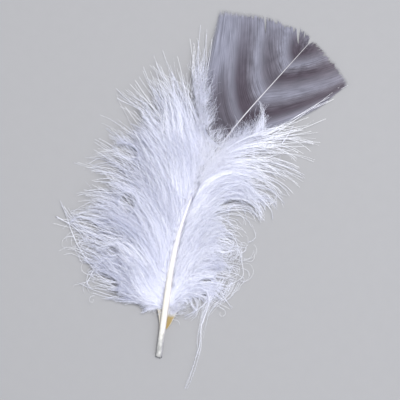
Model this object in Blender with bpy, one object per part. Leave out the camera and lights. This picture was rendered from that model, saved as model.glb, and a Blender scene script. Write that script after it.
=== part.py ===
"""A downy body feather lying on a surface. Metres, +Z up, +Y from the cut quill to the tip.

The shaft arches over the surface. The down springs from both sides of its lower part in locks of barbs,
and the flat vanes close round its upper part. Everything is laid out from distances along the shaft.
"""
import math
import random

import bmesh
import bpy
import numpy as np

MM = 0.001
SEED = 15

# ------------------------------------------------------------------ driving dimensions
# The cut end of the quill, seen from the middle of the feather's footprint.
QUILL_END = (15.6 * MM, -51.2 * MM, 0.0)

SHAFT_LENGTH = 108.3 * MM
SHAFT_ARCH = 6.5 * MM
HEADING_AT_QUILL = math.radians(-17.5)
HEADING_AT_TIP = math.radians(16.5)
BEND_START = 16 * MM
BEND_END = 88 * MM
# distance from the cut end and radius of the shaft there
SHAFT_RADII = ((0, 0.98), (8, 0.92), (16, 1.0), (25, 1.0), (36, 0.92), (41, 0.66), (47, 0.5),
               (52, 0.4), (67, 0.27), (108.3, 0.16))
SHAFT_SIDES = 10
SHAFT_RINGS = 30
LUMEN_RADIUS = 0.62 * MM
LUMEN_DEPTH = 3.0 * MM

# Room kept between neighbouring pieces.
GAP = 0.35 * MM
# Edges between round faces stay smooth up to this angle.
SMOOTH_ANGLE = math.radians(55)

# Vane barbs: distance of the root along the shaft, angle from +Y where the barb leaves the shaft and
# where it ends, and its length. Angles open outwards, to the side that the vane is on.
VANE_LEFT_BARBS = ((67.0, 40, 11.6, 41.1), (69.0, 40, 11.6, 39.6), (76.2, 44, 14, 33.6),
                   (86.6, 42, 17, 24.8), (94.7, 43, 23, 17.6), (101.7, 42, 26, 10.2),
                   (105.6, 32, 18, 5.4), (107.4, 14, 4, 2.6))
# The left barbs keep those ends but turn up sharply near the shaft: distance of the root, angle from +Y
# at the root and at the end, and the shares of the span that they hold those angles for.
VANE_LEFT_TURNS = ((67.0, 90, 13), (69.0, 72, 17), (72.0, 62, 21), (77.0, 57, 26), (85.0, 57, 28),
                   (100.0, 57, 28), (105.0, 40, 20), (107.4, 14, 8))
VANE_LEFT_BEND = (0.28, 0.38)
VANE_RIGHT_BARBS = ((69.5, 56, 35, 31.0), (72.5, 56, 34, 33.4), (76.2, 57, 34, 34.8), (86.6, 62, 41, 25.8),
                    (94.7, 62, 42, 17.2), (101.7, 58, 42, 9.2), (105.6, 50, 36, 4.4), (107.4, 40, 30, 2.2))
VANE_COLUMNS = 29
VANE_ROWS = 6
VANE_THICKNESS = 0.45 * MM
VANE_RIB = 0.13 * MM
VANE_TIP_JAG = 0.35 * MM
# Height of the barbs' ends, and how late along the barb the vane bends down to it.
VANE_EDGE_HEIGHT = 0.6 * MM
VANE_CAMBER = 1.5
# The splits in the left vane: distance of their barb along the shaft, how far in they reach and how
# wide they stand open at the edge.
VANE_LEFT_SPLITS = ((91.5, 0.79, 0.9), (104.0, 0.4, 1.3))

# Down locks: as for the vane barbs, with the angles bending outwards and then down along the barb.
DOWN_LEFT_LOCKS = ((15.0, 102, 110, 24.0), (18.0, 90, 112, 29.0), (21.0, 78, 116, 34.0),
                   (25.5, 62, 116, 38.0), (31.0, 54, 113, 39.0), (37.0, 48, 106, 38.5),
                   (43.0, 48, 102, 36.5), (49.5, 48, 94, 35.5), (57.0, 50, 76, 35.5),
                   (61.5, 56, 58, 35.0), (64.5, 64, 35, 32.5))
DOWN_RIGHT_LOCKS = ((15.5, 24, 106, 21.5), (22.5, 22, 100, 24.0), (31.0, 24, 121, 24.8),
                    (38.5, 20, 135, 24.0), (45.0, 20, 152, 25.0), (52.0, 25, 150, 30.0),
                    (57.0, 30, 140, 30.0), (60.5, 35, 130, 32.0), (63.5, 38, 118, 31.8),
                    (65.5, 40, 94, 32.0), (67.5, 40, 62, 32.5))

# Layers of locks on each side: number, shortening of the barbs, turn towards the shaft at the root,
# height of the tips, upward bow, how fast the lock leaves the height of its root.
DOWN_LEFT_LAYERS = ((12, 1.00, 0, 0.2, 0.0, 3.0), (11, 0.93, 6, 3.2, 1.5, 1.6),
                    (9, 0.80, 12, 6.4, 6.2, 1.2))
DOWN_RIGHT_LAYERS = ((11, 1.00, -6, 0.2, 0.0, 3.0), (10, 0.92, 3, 3.2, 1.5, 1.6),
                     (9, 0.78, 8, 6.4, 6.2, 1.2))
LOCK_RINGS = (0.0, 0.2, 0.42, 0.64, 0.84, 0.97)
LOCK_SIDES = 6
LOCK_HALF_WIDTH = 2.3 * MM
LOCK_HALF_HEIGHT = 0.9 * MM
LOCK_TURN_JITTER = math.radians(5)
LOCK_LENGTH_JITTER = 0.06
LOCK_PLACE_JITTER = 0.8 * MM
# Slender locks where the down passes into the vane: distance, start, end, length, height of the tip
SLENDER_LEFT_LOCKS = ((64.6, 68, 20, 35.2, 2.4), (65.6, 70, -6, 39.5, 1.4), (47.0, 46, 70, 37.5, 5.0),
                      (27.0, 78, 107, 39.5, 3.0), (31.0, 66, 104, 40.0, 0.3), (20.5, 84, 108, 33.0, 0.5),
                      (24.0, 74, 108, 36.0, 1.0))
SLENDER_RIGHT_LOCKS = ((67.6, 62, 60, 30.5, 0.3), (68.2, 60, 52, 32.0, 0.3), (55.0, 22, 100, 24.0, 6.0))
SLENDER_HALF_WIDTH = 0.75 * MM
SLENDER_HALF_HEIGHT = 0.5 * MM
# The ridge that the locks of one side grow from, beside the shaft.
RIDGE_START = 15.5 * MM
RIDGE_END = 68.5 * MM
RIDGE_HALF_WIDTH = 0.7 * MM
RIDGE_HALF_HEIGHT = 0.6 * MM
RIDGE_RINGS = 16
RIDGE_CLEAR = GAP + 0.42 * MM
# The long strand that hangs past the cut end: level places across and along, from the cut end.
STRAND_ROUTE = ((-3.6, 14.0), (-1.4, 17.8), (1.6, 20.8), (4.6, 21.6), (6.7, 19.4), (7.1, 15.6), (8.6, 11.2),
                (10.2, 6.2), (11.3, 0.8), (11.7, -5.5))
STRAND_RINGS = 16
STRAND_SIDES = 5
STRAND_HALF_WIDTH = 0.55 * MM

SHEATH_START = 8.5 * MM
SHEATH_END = 17.0 * MM
SHEATH_NARROW = 1.0 * MM
SHEATH_LEFT = 3.4 * MM
SHEATH_RIGHT = 4.4 * MM
SHEATH_FLARE = 1.5
SHEATH_RISE = 0.3 * MM
SHEATH_ROWS = 7
SHEATH_COLUMNS = 9
SHEATH_THICKNESS = 0.35 * MM

# The locks of one side are fused on a grid this fine, and this share of its triangles is kept.
FUSE_GRID = 0.4 * MM
FUSE_SHARE_KEPT = 0.0245

# What is cut away: the block below the surface, and the wall that parts the two sides of the down.
FLOOR_BLOCK = (300 * MM, 300 * MM, 20 * MM)
WALL_HEIGHTS = (-5 * MM, 30 * MM)
WALL_LENGTH = 100 * MM
GUIDE_RINGS = 36


# ------------------------------------------------------------------ shaft line
def smoothstep(t):
    t = np.clip(t, 0.0, 1.0)
    return t * t * (3.0 - 2.0 * t)


def shaft_heading(s):
    """Angle of the shaft from +Y, opening to +X."""
    turn = smoothstep((s - BEND_START) / (BEND_END - BEND_START))
    return HEADING_AT_QUILL + (HEADING_AT_TIP - HEADING_AT_QUILL) * turn


def shaft_radius(s):
    distances, radii = zip(*SHAFT_RADII)
    return np.interp(s / MM, distances, radii) * MM


LINE_STEPS = 800
LINE_S = np.linspace(0.0, SHAFT_LENGTH, LINE_STEPS)
LINE_MID_HEADING = shaft_heading((LINE_S[1:] + LINE_S[:-1]) / 2)
LINE_STEP = LINE_S[1] - LINE_S[0]
LINE_X = np.concatenate(((0.0,), np.cumsum(np.sin(LINE_MID_HEADING) * LINE_STEP)))
LINE_Y = np.concatenate(((0.0,), np.cumsum(np.cos(LINE_MID_HEADING) * LINE_STEP)))


def shaft_height(s):
    return shaft_radius(s) + SHAFT_ARCH * np.sin(np.pi * s / SHAFT_LENGTH)


def shaft_point(s):
    return np.array((np.interp(s, LINE_S, LINE_X), np.interp(s, LINE_S, LINE_Y), shaft_height(s)))


def shaft_side(s):
    """Level unit vector to the right of the shaft."""
    heading = shaft_heading(s)
    return np.array((math.cos(heading), -math.sin(heading), 0.0))


# ------------------------------------------------------------------ barbs
def at_distance(rows, s):
    """Blend the rows of a barb table at distance s along the shaft: start, end, length."""
    distances, starts, ends, lengths = zip(*rows)
    start = math.radians(np.interp(s / MM, distances, starts))
    end = math.radians(np.interp(s / MM, distances, ends))
    return start, end, np.interp(s / MM, distances, lengths) * MM


def barb_arc(start, end, length, side, t):
    """Level place and heading at part t of a barb that bends evenly from its start to its end angle."""
    bend = end - start if abs(end - start) > 1e-4 else 1e-4
    angle = start + bend * t
    across = side * length * (math.cos(start) - math.cos(angle)) / bend
    along = length * (math.sin(angle) - math.sin(start)) / bend
    return np.array((across, along, 0.0)), side * angle


def barb_bow(tip, start, end, t):
    """Level place and heading at part t of a barb that leaves its root and reaches its tip this way."""
    span = np.linalg.norm(tip)
    near = VANE_LEFT_BEND[0] * span * level_direction(start)
    far = tip - VANE_LEFT_BEND[1] * span * level_direction(end)
    place = 3 * near * t * (1 - t) ** 2 + 3 * far * t * t * (1 - t) + tip * t ** 3
    course = near * (1 - t) ** 2 + 2 * (far - near) * t * (1 - t) + (tip - far) * t * t
    return place, math.atan2(course[0], course[1])


def level_direction(heading):
    """Level unit vector that heads this way from +Y."""
    return np.array((math.sin(heading), math.cos(heading), 0.0))


def root_point(s, side, clear):
    """Point beside the shaft at distance s, clear of its surface."""
    return shaft_point(s) + side * (shaft_radius(s) + clear) * shaft_side(s)


# ------------------------------------------------------------------ materials and objects
def make_material(name, color, roughness):
    material = bpy.data.materials.new(name)
    material.use_nodes = True
    shader = material.node_tree.nodes["Principled BSDF"]
    shader.inputs["Base Color"].default_value = (*color, 1.0)
    shader.inputs["Roughness"].default_value = roughness
    shader.inputs["Metallic"].default_value = 0.0
    return material


def make_object(name, bm, material=None):
    mesh = bpy.data.meshes.new(name)
    bmesh.ops.recalc_face_normals(bm, faces=bm.faces)
    bm.to_mesh(mesh)
    bm.free()
    obj = bpy.data.objects.new(name, mesh)
    bpy.context.scene.collection.objects.link(obj)
    if material:
        obj.data.materials.append(material)
    return obj


def add_boolean(obj, guide, operation):
    """Join the object with a guide, or cut the guide's room out of it.

    EXACT leaves edges where the many crossing locks are pinched shut, so these use MANIFOLD.
    """
    boolean = obj.modifiers.new(operation.lower(), "BOOLEAN")
    boolean.operation = operation
    boolean.solver = "MANIFOLD"
    boolean.object = guide
    guide.hide_render = True
    guide.display_type = "WIRE"


def settle_modifiers(obj):
    """Turn the object's modifiers into its mesh and keep only its largest closed body."""
    graph = bpy.context.evaluated_depsgraph_get()
    mesh = bpy.data.meshes.new_from_object(obj.evaluated_get(graph))
    obj.modifiers.clear()
    obj.data = mesh
    bm = bmesh.new()
    bm.from_mesh(mesh)
    bmesh.ops.triangulate(bm, faces=bm.faces)
    bodies = linked_bodies(bm)
    largest = max(bodies, key=len)
    loose = [face for body in bodies if body is not largest for face in body]
    bmesh.ops.delete(bm, geom=loose, context="FACES")
    bm.to_mesh(mesh)
    bm.free()


def linked_bodies(bm):
    """Lists of the faces that hang together by their edges."""
    waiting = set(bm.faces)
    bodies = []
    while waiting:
        body = []
        reach = [waiting.pop()]
        while reach:
            face = reach.pop()
            body.append(face)
            for edge in face.edges:
                for neighbour in edge.link_faces:
                    if neighbour in waiting:
                        waiting.remove(neighbour)
                        reach.append(neighbour)
        bodies.append(body)
    return bodies


def skin_rings(bm, rings):
    """Skin a row of closed rings of points, and close both ends."""
    rows = [[bm.verts.new(point) for point in ring] for ring in rings]
    sides = len(rows[0])
    for low, high in zip(rows, rows[1:]):
        for i in range(sides):
            j = (i + 1) % sides
            bm.faces.new((low[i], low[j], high[j], high[i]))
    bm.faces.new(rows[0][::-1])
    bm.faces.new(rows[-1])


def ring_points(center, side_vector, up_vector, half_width, half_height, sides):
    angles = [2 * math.pi * i / sides for i in range(sides)]
    return [center + math.cos(a) * half_width * side_vector + math.sin(a) * half_height * up_vector
            for a in angles]


UP = np.array((0.0, 0.0, 1.0))


def level_normal(heading):
    """Level unit vector to the right of something that heads this way from +Y."""
    return np.array((math.cos(heading), -math.sin(heading), 0.0))


# ------------------------------------------------------------------ shaft
def shaft_rings(start, end, count, sides, clear):
    """Rings round the shaft between two distances, clear of its surface."""
    rings = []
    for s in np.linspace(start, end, count):
        radius = shaft_radius(s) + clear
        rings.append(ring_points(shaft_point(s), shaft_side(s), UP, radius, radius, sides))
    return rings


def build_shaft(material):
    rings = shaft_rings(0.0, SHAFT_LENGTH, SHAFT_RINGS, SHAFT_SIDES, 0.0)
    mouth = shaft_point(0.0)
    floor_of_lumen = shaft_point(LUMEN_DEPTH)
    inner = [ring_points(center, shaft_side(0.0), UP, LUMEN_RADIUS, LUMEN_RADIUS, SHAFT_SIDES)
             for center in (floor_of_lumen, mouth)]
    bm = bmesh.new()
    skin_rings(bm, inner + rings)
    obj = make_object("quill_shaft", bm, material)
    obj.data.shade_smooth()
    obj.data.set_sharp_from_angle(angle=SMOOTH_ANGLE)
    return obj


# ------------------------------------------------------------------ sheath remnant
def sheath_sheet(margin):
    """The web as a single-sided sheet under the shaft, with its flares out to both sides."""
    bm = bmesh.new()
    rows = []
    steps = np.linspace(0.0, 1.0, SHEATH_ROWS)
    for part in steps:
        s = SHEATH_START - margin + (SHEATH_END - SHEATH_START + 2 * margin) * part
        left = SHEATH_NARROW + (SHEATH_LEFT - SHEATH_NARROW) * part ** SHEATH_FLARE + margin
        right = SHEATH_NARROW + (SHEATH_RIGHT - SHEATH_NARROW) * part ** (1 / SHEATH_FLARE) + margin
        bottom = -shaft_radius(s) - GAP - SHEATH_THICKNESS / 2
        row = []
        for q in np.linspace(-1.0, 1.0, SHEATH_COLUMNS):
            across = q * (left if q < 0 else right)
            lift = (shaft_radius(s) + SHEATH_RISE) * q * q * part
            row.append(bm.verts.new(shaft_point(s) + across * shaft_side(s) + (bottom + lift) * UP))
        rows.append(row)
    for low, high in zip(rows, rows[1:]):
        for i in range(SHEATH_COLUMNS - 1):
            bm.faces.new((low[i], low[i + 1], high[i + 1], high[i]))
    return bm


def build_sheath(name, material, margin):
    obj = make_object(name, sheath_sheet(margin), material)
    add_thickness(obj, SHEATH_THICKNESS + 2 * margin)
    settle_modifiers(obj)
    obj.data.shade_smooth()
    obj.data.set_sharp_from_angle(angle=SMOOTH_ANGLE)
    return obj


def add_thickness(obj, thickness):
    solidify = obj.modifiers.new("thickness", "SOLIDIFY")
    solidify.thickness = thickness
    solidify.offset = 0.0


# ------------------------------------------------------------------ vanes
def vane_columns(rows, splits, margin):
    """Barb columns from the down to the tip: distance, sign of a split's edge, its start and opening.

    The barb column nearest to a split becomes the split's two edges.
    """
    distances = list(np.linspace(rows[0][0] * MM - margin, rows[-1][0] * MM, VANE_COLUMNS))
    columns = []
    for distance, inner, opening in splits:
        nearest = min(distances, key=lambda s: abs(s - distance * MM))
        distances.remove(nearest)
        columns.append((nearest, -1, inner, opening * MM))
        columns.append((nearest, 1, inner, opening * MM))
    columns += [(s, 0, 1.0, 0.0) for s in distances]
    return sorted(columns)


def left_barb(s, tip, part):
    """Level place and heading at one part of a barb of the left vane, which turns up near the shaft."""
    distances, starts, ends = zip(*VANE_LEFT_TURNS)
    start = math.radians(np.interp(s / MM, distances, starts))
    end = math.radians(np.interp(s / MM, distances, ends))
    return barb_bow(tip, -start, -end, part)


def vane_point(s, side, rows, part, jag, margin):
    """Place and heading at one part of the barb at distance s of a vane."""
    start, end, length = at_distance(rows, s)
    length += jag + margin
    level, heading = barb_arc(start, end, length, side, part)
    if side < 0:
        tip, _ = barb_arc(start, end, length, side, 1.0)
        level, heading = left_barb(s, tip, part)
    root = root_point(s, side, GAP - margin)
    fall = (VANE_EDGE_HEIGHT - root[2]) * part ** VANE_CAMBER
    return root + level + fall * UP, heading


def vane_sheet(side, rows, splits, margin):
    """The vane as a single-sided sheet of barb columns, with ribs along the barbs and jagged tips."""
    bm = bmesh.new()
    parts = np.linspace(0.0, 1.0, VANE_ROWS + 1)
    before = None
    rib = VANE_RIB
    for s, sign, inner, opening in vane_columns(rows, splits, margin):
        if sign <= 0:
            rib = -rib
        jag = math.copysign(VANE_TIP_JAG, rib)
        column = []
        for row, part in enumerate(parts):
            if sign > 0 and part <= inner:
                column.append(before[row])
                continue
            point, heading = vane_point(s, side, rows, part, jag, margin)
            if sign and part > inner:
                spread = sign * opening / 2 * (part - inner) / (1 - inner)
                point -= side * spread * level_normal(heading)
            column.append(bm.verts.new(point + rib * min(1.0, 2 * part) * UP))
        if before and sign <= 0:
            for row in range(VANE_ROWS):
                bm.faces.new((before[row], column[row], column[row + 1], before[row + 1]))
        before = column
    return bm


def build_vane(name, side, rows, splits, material, margin=0.0):
    obj = make_object(name, vane_sheet(side, rows, splits, margin), material)
    add_thickness(obj, VANE_THICKNESS + 2 * margin)
    settle_modifiers(obj)
    return obj


# ------------------------------------------------------------------ down
def lock_taper(part):
    """Share of the full width along a lock: slim at the root, full past the middle, pointed at the end."""
    return (0.45 + 0.55 * math.sin(math.pi * part ** 0.8)) * (1.0 - part ** 5) ** 0.6


def add_lock(bm, side, s, barb, tip_height, bow, drop, half_width, half_height):
    """One flattened, curved lock of barbs that grows out of the ridge."""
    start, end, length = barb
    root = root_point(s, side, RIDGE_CLEAR)
    rings = []
    for part in LOCK_RINGS:
        level, heading = barb_arc(start, end, length, side, part)
        height = tip_height * MM + (root[2] - tip_height * MM) * (1 - part) ** drop
        height += bow * MM * math.sin(math.pi * part)
        center = np.array((root[0] + level[0], root[1] + level[1], height))
        share = lock_taper(part)
        rings.append(ring_points(center, level_normal(heading), UP, half_width * share,
                                 half_height * share, LOCK_SIDES))
    skin_rings(bm, rings)


def add_layers(bm, side, rows, layers, rng):
    first = rows[0][0] * MM
    last = rows[-1][0] * MM
    for count, shorten, turn, tip_height, bow, drop in layers:
        for number in range(count):
            s = first + (last - first) * (number + 0.5) / count
            s += rng.uniform(-1, 1) * LOCK_PLACE_JITTER
            start, end, length = at_distance(rows, s)
            start += rng.uniform(-1, 1) * LOCK_TURN_JITTER - math.radians(turn)
            end += rng.uniform(-1, 1) * LOCK_TURN_JITTER
            length *= shorten * (1 + rng.uniform(-1, 1) * LOCK_LENGTH_JITTER)
            add_lock(bm, side, s, (start, end, length), tip_height, bow, drop,
                     LOCK_HALF_WIDTH, LOCK_HALF_HEIGHT)


def build_slender_guide(side, distance, start, end, length, tip_height):
    bm = bmesh.new()
    barb = (math.radians(start), math.radians(end), length * MM)
    add_lock(bm, side, distance * MM, barb, tip_height, 0.0, 1.5, SLENDER_HALF_WIDTH, SLENDER_HALF_HEIGHT)
    return make_object("slender_guide", bm)


def smooth_route(points, count):
    """Evenly spread points on a smooth curve through the given ones."""
    places = np.array(points, dtype=float)
    padded = np.vstack((2 * places[0] - places[1], places, 2 * places[-1] - places[-2]))
    route = []
    for value in np.linspace(0.0, len(points) - 1.001, count):
        index = int(value)
        t = value - index
        a, b, c, d = padded[index:index + 4]
        route.append(0.5 * (2 * b + (c - a) * t + (2 * a - 5 * b + 4 * c - d) * t * t
                            + (3 * b - a - 3 * c + d) * t ** 3))
    return np.array(route)


def build_strand_guide():
    """The long thin strand: out of the ridge, over in a hook and down past the cut end."""
    route = smooth_route(STRAND_ROUTE, STRAND_RINGS) * MM
    headings = np.gradient(route, axis=0)
    top = shaft_height(RIDGE_START)
    rings = []
    for number, (place, step) in enumerate(zip(route, headings)):
        part = number / (STRAND_RINGS - 1)
        height = STRAND_HALF_WIDTH * 0.8 + (top - STRAND_HALF_WIDTH) * (1 - part) ** 2.5
        half = STRAND_HALF_WIDTH * (1.0 - 0.6 * part)
        center = np.array((place[0], place[1], height))
        rings.append(ring_points(center, level_normal(math.atan2(step[0], step[1])), UP, half, half,
                                 STRAND_SIDES))
    bm = bmesh.new()
    skin_rings(bm, rings)
    return make_object("strand_guide", bm)


def add_ridge(bm, side):
    """The ridge beside the shaft, where all the locks of one side are rooted."""
    rings = []
    for s in np.linspace(RIDGE_START, RIDGE_END, RIDGE_RINGS):
        center = root_point(s, side, RIDGE_CLEAR)
        rings.append(ring_points(center, shaft_side(s), UP, RIDGE_HALF_WIDTH, RIDGE_HALF_HEIGHT,
                                 LOCK_SIDES))
    skin_rings(bm, rings)


def build_floor_guide():
    """The block below the surface, which makes the undersides of the lowest locks flat."""
    bm = bmesh.new()
    bmesh.ops.create_cube(bm, size=1.0)
    bmesh.ops.scale(bm, vec=FLOOR_BLOCK, verts=bm.verts)
    bmesh.ops.translate(bm, vec=(0, 0, -FLOOR_BLOCK[2] / 2), verts=bm.verts)
    return make_object("floor_guide", bm)


def build_shaft_guide():
    """The room of the shaft."""
    bm = bmesh.new()
    skin_rings(bm, shaft_rings(SHEATH_START, WALL_LENGTH, GUIDE_RINGS, SHAFT_SIDES, GAP))
    return make_object("shaft_guide", bm)


def build_wall_guide():
    """A thin upright wall along the shaft, which keeps its two sides apart above and below it."""
    bm = bmesh.new()
    rings = []
    for s in np.linspace(0.0, WALL_LENGTH, GUIDE_RINGS):
        center = shaft_point(s)
        across = shaft_side(s) * GAP / 2
        low, high = (np.array((center[0], center[1], height)) for height in WALL_HEIGHTS)
        rings.append([low - across, low + across, high + across, high - across])
    skin_rings(bm, rings)
    return make_object("wall_guide", bm)


def fuse(obj):
    """Make one closed body of the locks, with few faces."""
    remesh = obj.modifiers.new("fuse", "REMESH")
    remesh.mode = "VOXEL"
    remesh.voxel_size = FUSE_GRID
    thin_out = obj.modifiers.new("thin_out", "DECIMATE")
    thin_out.ratio = FUSE_SHARE_KEPT


def build_down(name, side, rows, layers, slender, material, guides):
    rng = random.Random(SEED + side)
    bm = bmesh.new()
    add_ridge(bm, side)
    add_layers(bm, side, rows, layers, rng)
    obj = make_object(name, bm, material)
    fuse(obj)
    settle_modifiers(obj)
    additions = [build_slender_guide(side, *row) for row in slender]
    if side > 0:
        additions.append(build_strand_guide())
    for guide in additions:
        add_boolean(obj, guide, "UNION")
    for guide in guides:
        add_boolean(obj, guide, "DIFFERENCE")
    settle_modifiers(obj)
    for guide in additions:
        bpy.data.objects.remove(guide)
    obj.data.shade_smooth()
    obj.data.set_sharp_from_angle(angle=SMOOTH_ANGLE)
    return obj


# ------------------------------------------------------------------ feather
def main():
    for obj in list(bpy.data.objects):
        bpy.data.objects.remove(obj)

    horn = make_material("shaft_horn", (0.93, 0.91, 0.82), 0.4)
    white = make_material("down_white", (0.90, 0.90, 0.95), 0.85)
    barred = make_material("vane_barred", (0.28, 0.26, 0.31), 0.6)
    tan = make_material("sheath_tan", (0.78, 0.62, 0.38), 0.6)

    shaft = build_shaft(horn)
    sheath = build_sheath("sheath_remnant", tan, 0.0)
    vane_left = build_vane("vane_left", -1, VANE_LEFT_BARBS, VANE_LEFT_SPLITS, barred)
    vane_right = build_vane("vane_right", 1, VANE_RIGHT_BARBS, (), barred)

    guides = [build_shaft_guide(), build_wall_guide(), build_floor_guide(),
              build_sheath("sheath_guide", None, GAP)]
    vane_guides = {-1: build_vane("vane_guide", -1, VANE_LEFT_BARBS, (), None, GAP),
                   1: build_vane("vane_guide", 1, VANE_RIGHT_BARBS, (), None, GAP)}
    down_left = build_down("down_left", -1, DOWN_LEFT_LOCKS, DOWN_LEFT_LAYERS, SLENDER_LEFT_LOCKS,
                           white, guides + [vane_guides[-1]])
    down_right = build_down("down_right", 1, DOWN_RIGHT_LOCKS, DOWN_RIGHT_LAYERS, SLENDER_RIGHT_LOCKS,
                            white, guides + [vane_guides[1]])
    for guide in guides + list(vane_guides.values()):
        bpy.data.objects.remove(guide)

    feather = bpy.data.objects.new("feather", None)
    feather.location = QUILL_END
    bpy.context.scene.collection.objects.link(feather)
    for piece in (shaft, sheath, vane_left, vane_right, down_left, down_right):
        piece.parent = feather


main()
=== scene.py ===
"""The looks of a downy body feather that lies on a pale surface and is seen from above.

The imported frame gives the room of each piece. The line of the shaft and the barb tables repeat the ones that
the solids follow, so that every barb lies where its solid is. Everything is worked out in metres and radians.
Plain lengths and angles in tables and ranges are in millimetres and degrees. A place in a table is across and
along from the quill's cut end, and a distance is measured from there along the shaft.
"""
import math

import bpy
import numpy as np
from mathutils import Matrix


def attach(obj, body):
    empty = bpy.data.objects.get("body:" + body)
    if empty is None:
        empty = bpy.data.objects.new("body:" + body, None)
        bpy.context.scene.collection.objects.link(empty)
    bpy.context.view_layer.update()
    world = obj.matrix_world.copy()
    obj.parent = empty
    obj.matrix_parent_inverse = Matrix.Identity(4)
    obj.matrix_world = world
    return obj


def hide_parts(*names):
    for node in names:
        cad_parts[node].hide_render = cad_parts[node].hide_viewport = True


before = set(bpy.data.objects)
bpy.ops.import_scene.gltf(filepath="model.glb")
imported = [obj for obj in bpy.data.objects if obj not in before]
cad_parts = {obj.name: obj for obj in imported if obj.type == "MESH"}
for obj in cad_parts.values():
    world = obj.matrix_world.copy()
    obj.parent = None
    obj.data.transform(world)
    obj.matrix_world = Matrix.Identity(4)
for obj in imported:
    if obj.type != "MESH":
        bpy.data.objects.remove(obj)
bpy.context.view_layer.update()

MM = 0.001
SEED = 4
UP = np.array((0.0, 0.0, 1.0))
# The sides of the shaft. They also say which way to go across it.
LEFT = -1
RIGHT = 1
SIDE_NAMES = {LEFT: "left", RIGHT: "right"}

# ---------------- the photograph's frame
PHOTO_ROLL = math.radians(25.5)
PHOTO_WIDTH = 120 * MM
PHOTO_CENTRE = (6.5 * MM, -3.2 * MM)
PHOTO_LEVEL = 3.5 * MM
LENS = 200.0
SENSOR = 36.0

# ---------------- shaft line, as in the solids
QUILL_END = np.array((15.6 * MM, -51.2 * MM, 0.0))
SHAFT_LENGTH = 108.3 * MM
SHAFT_ARCH = 6.5 * MM
HEADING_AT_QUILL = math.radians(-17.5)
HEADING_AT_TIP = math.radians(16.5)
BEND_START = 16 * MM
BEND_END = 88 * MM
# distance, radius. Towards the tip the shaft is finer than its solid.
SHAFT_RADII = ((0, 0.98), (8, 0.92), (16, 1.0), (25, 1.0), (36, 0.92), (41, 0.66), (47, 0.5),
               (52, 0.4), (67, 0.2), (108.3, 0.09))
LUMEN_RADIUS = 0.62 * MM
LUMEN_DEPTH = 3.0 * MM

# ---------------- barb tables, as in the solids
# distance of the root, angle from +Y at the root and at the end, length
VANE_BARBS = {
    LEFT: ((67.0, 40, 11.6, 41.1), (69.0, 40, 11.6, 39.6), (76.2, 44, 14, 33.6), (86.6, 42, 17, 24.8),
           (94.7, 43, 23, 17.6), (101.7, 42, 26, 10.2), (105.6, 32, 18, 5.4), (107.4, 14, 4, 2.6)),
    RIGHT: ((69.5, 56, 35, 31.0), (72.5, 56, 34, 33.4), (76.2, 57, 34, 34.8), (86.6, 62, 41, 25.8),
            (94.7, 62, 42, 17.2), (101.7, 58, 42, 9.2), (105.6, 50, 36, 4.4), (107.4, 40, 30, 2.2))}
DOWN_BARBS = {
    LEFT: ((15.0, 102, 110, 24.0), (18.0, 90, 112, 29.0), (21.0, 78, 116, 34.0), (25.5, 62, 116, 38.0),
           (31.0, 54, 113, 39.0), (37.0, 48, 106, 38.5), (43.0, 48, 102, 36.5), (49.5, 48, 94, 35.5),
           (57.0, 50, 76, 35.5), (61.5, 56, 58, 35.0), (64.5, 64, 35, 32.5)),
    RIGHT: ((15.5, 24, 106, 21.5), (22.5, 22, 100, 24.0), (31.0, 24, 121, 24.8), (38.5, 20, 135, 24.0),
            (45.0, 20, 152, 25.0), (52.0, 25, 150, 30.0), (57.0, 30, 140, 30.0), (60.5, 35, 130, 32.0),
            (63.5, 38, 118, 31.8), (65.5, 40, 94, 32.0), (67.5, 40, 62, 32.5))}
# The left vane's barbs turn up sharply near the shaft: distance of the root, angle there and at the end.
VANE_LEFT_TURNS = ((67.0, 90, 13), (69.0, 72, 17), (72.0, 62, 21), (77.0, 57, 26), (85.0, 57, 28),
                   (100.0, 57, 28), (105.0, 40, 20), (107.4, 14, 8))
VANE_LEFT_BEND = (0.28, 0.38)
VANE_EDGE_HEIGHT = 0.6 * MM
VANE_CAMBER = 1.5
# distance of the split's barb, part of the barb where it opens, opening at the edge
VANE_SPLITS = {LEFT: ((91.5, 0.79, 0.9), (104.0, 0.4, 1.3)), RIGHT: ()}

# ---------------- down: layers of locks of barbs
# number of locks, barbs in each, share of the full length, turn towards the shaft at the root and at the
# end, height of the tips, upward bow, and how fast the barbs leave the height of their root
DOWN_LAYERS = {
    LEFT: ((28, 34, 0.94, 0, 0, 0.6, 0.3, 2.6), (26, 36, 0.88, 4, 14, 3.0, 1.6, 1.7),
           (24, 40, 0.76, 8, 44, 5.4, 3.2, 1.2)),
    RIGHT: ((28, 34, 0.84, 4, 0, 0.6, 0.3, 2.6), (26, 36, 0.76, 10, 45, 3.0, 1.6, 1.7),
            (24, 40, 0.72, 14, 105, 5.4, 3.2, 1.2))}
# The barbs leave the shaft at another angle than their table's and bend back to the same tip: distance, and
# how many degrees wider than the table.
LEAVING = {LEFT: ((15, 0), (19, -8), (30, -26), (44, -24), (52, -12), (64, 8)),
           RIGHT: ((15, -6), (24, -24), (46, -24), (56, -10), (67, 14))}
# They also rise beside the shaft from nearer to the quill: distance, how much nearer.
RISING = {LEFT: ((15, 0), (24, 5), (36, 9), (50, 9), (60, 3), (65, 0)),
          RIGHT: ((15, 0), (24, 6), (36, 10), (50, 10), (60, 4), (67, 0))}
# Shares of a barb's span that it holds its first and its last heading for.
DOWN_BEND = (0.5, 0.3)
# Bends of fewer radians than this count as this one.
STRAIGHT = 1e-4
# Above 1 the barbs stay low beside the shaft before they bow upwards.
BOW_DELAY = 1.4
# How far off the shaft's middle line the barbs are rooted, as a share of its radius.
ROOTS_OFF = 0.8
# The upper layers turn towards the shaft less and less between these distances.
UPRIGHT_TO = (46 * MM, 60 * MM)
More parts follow.
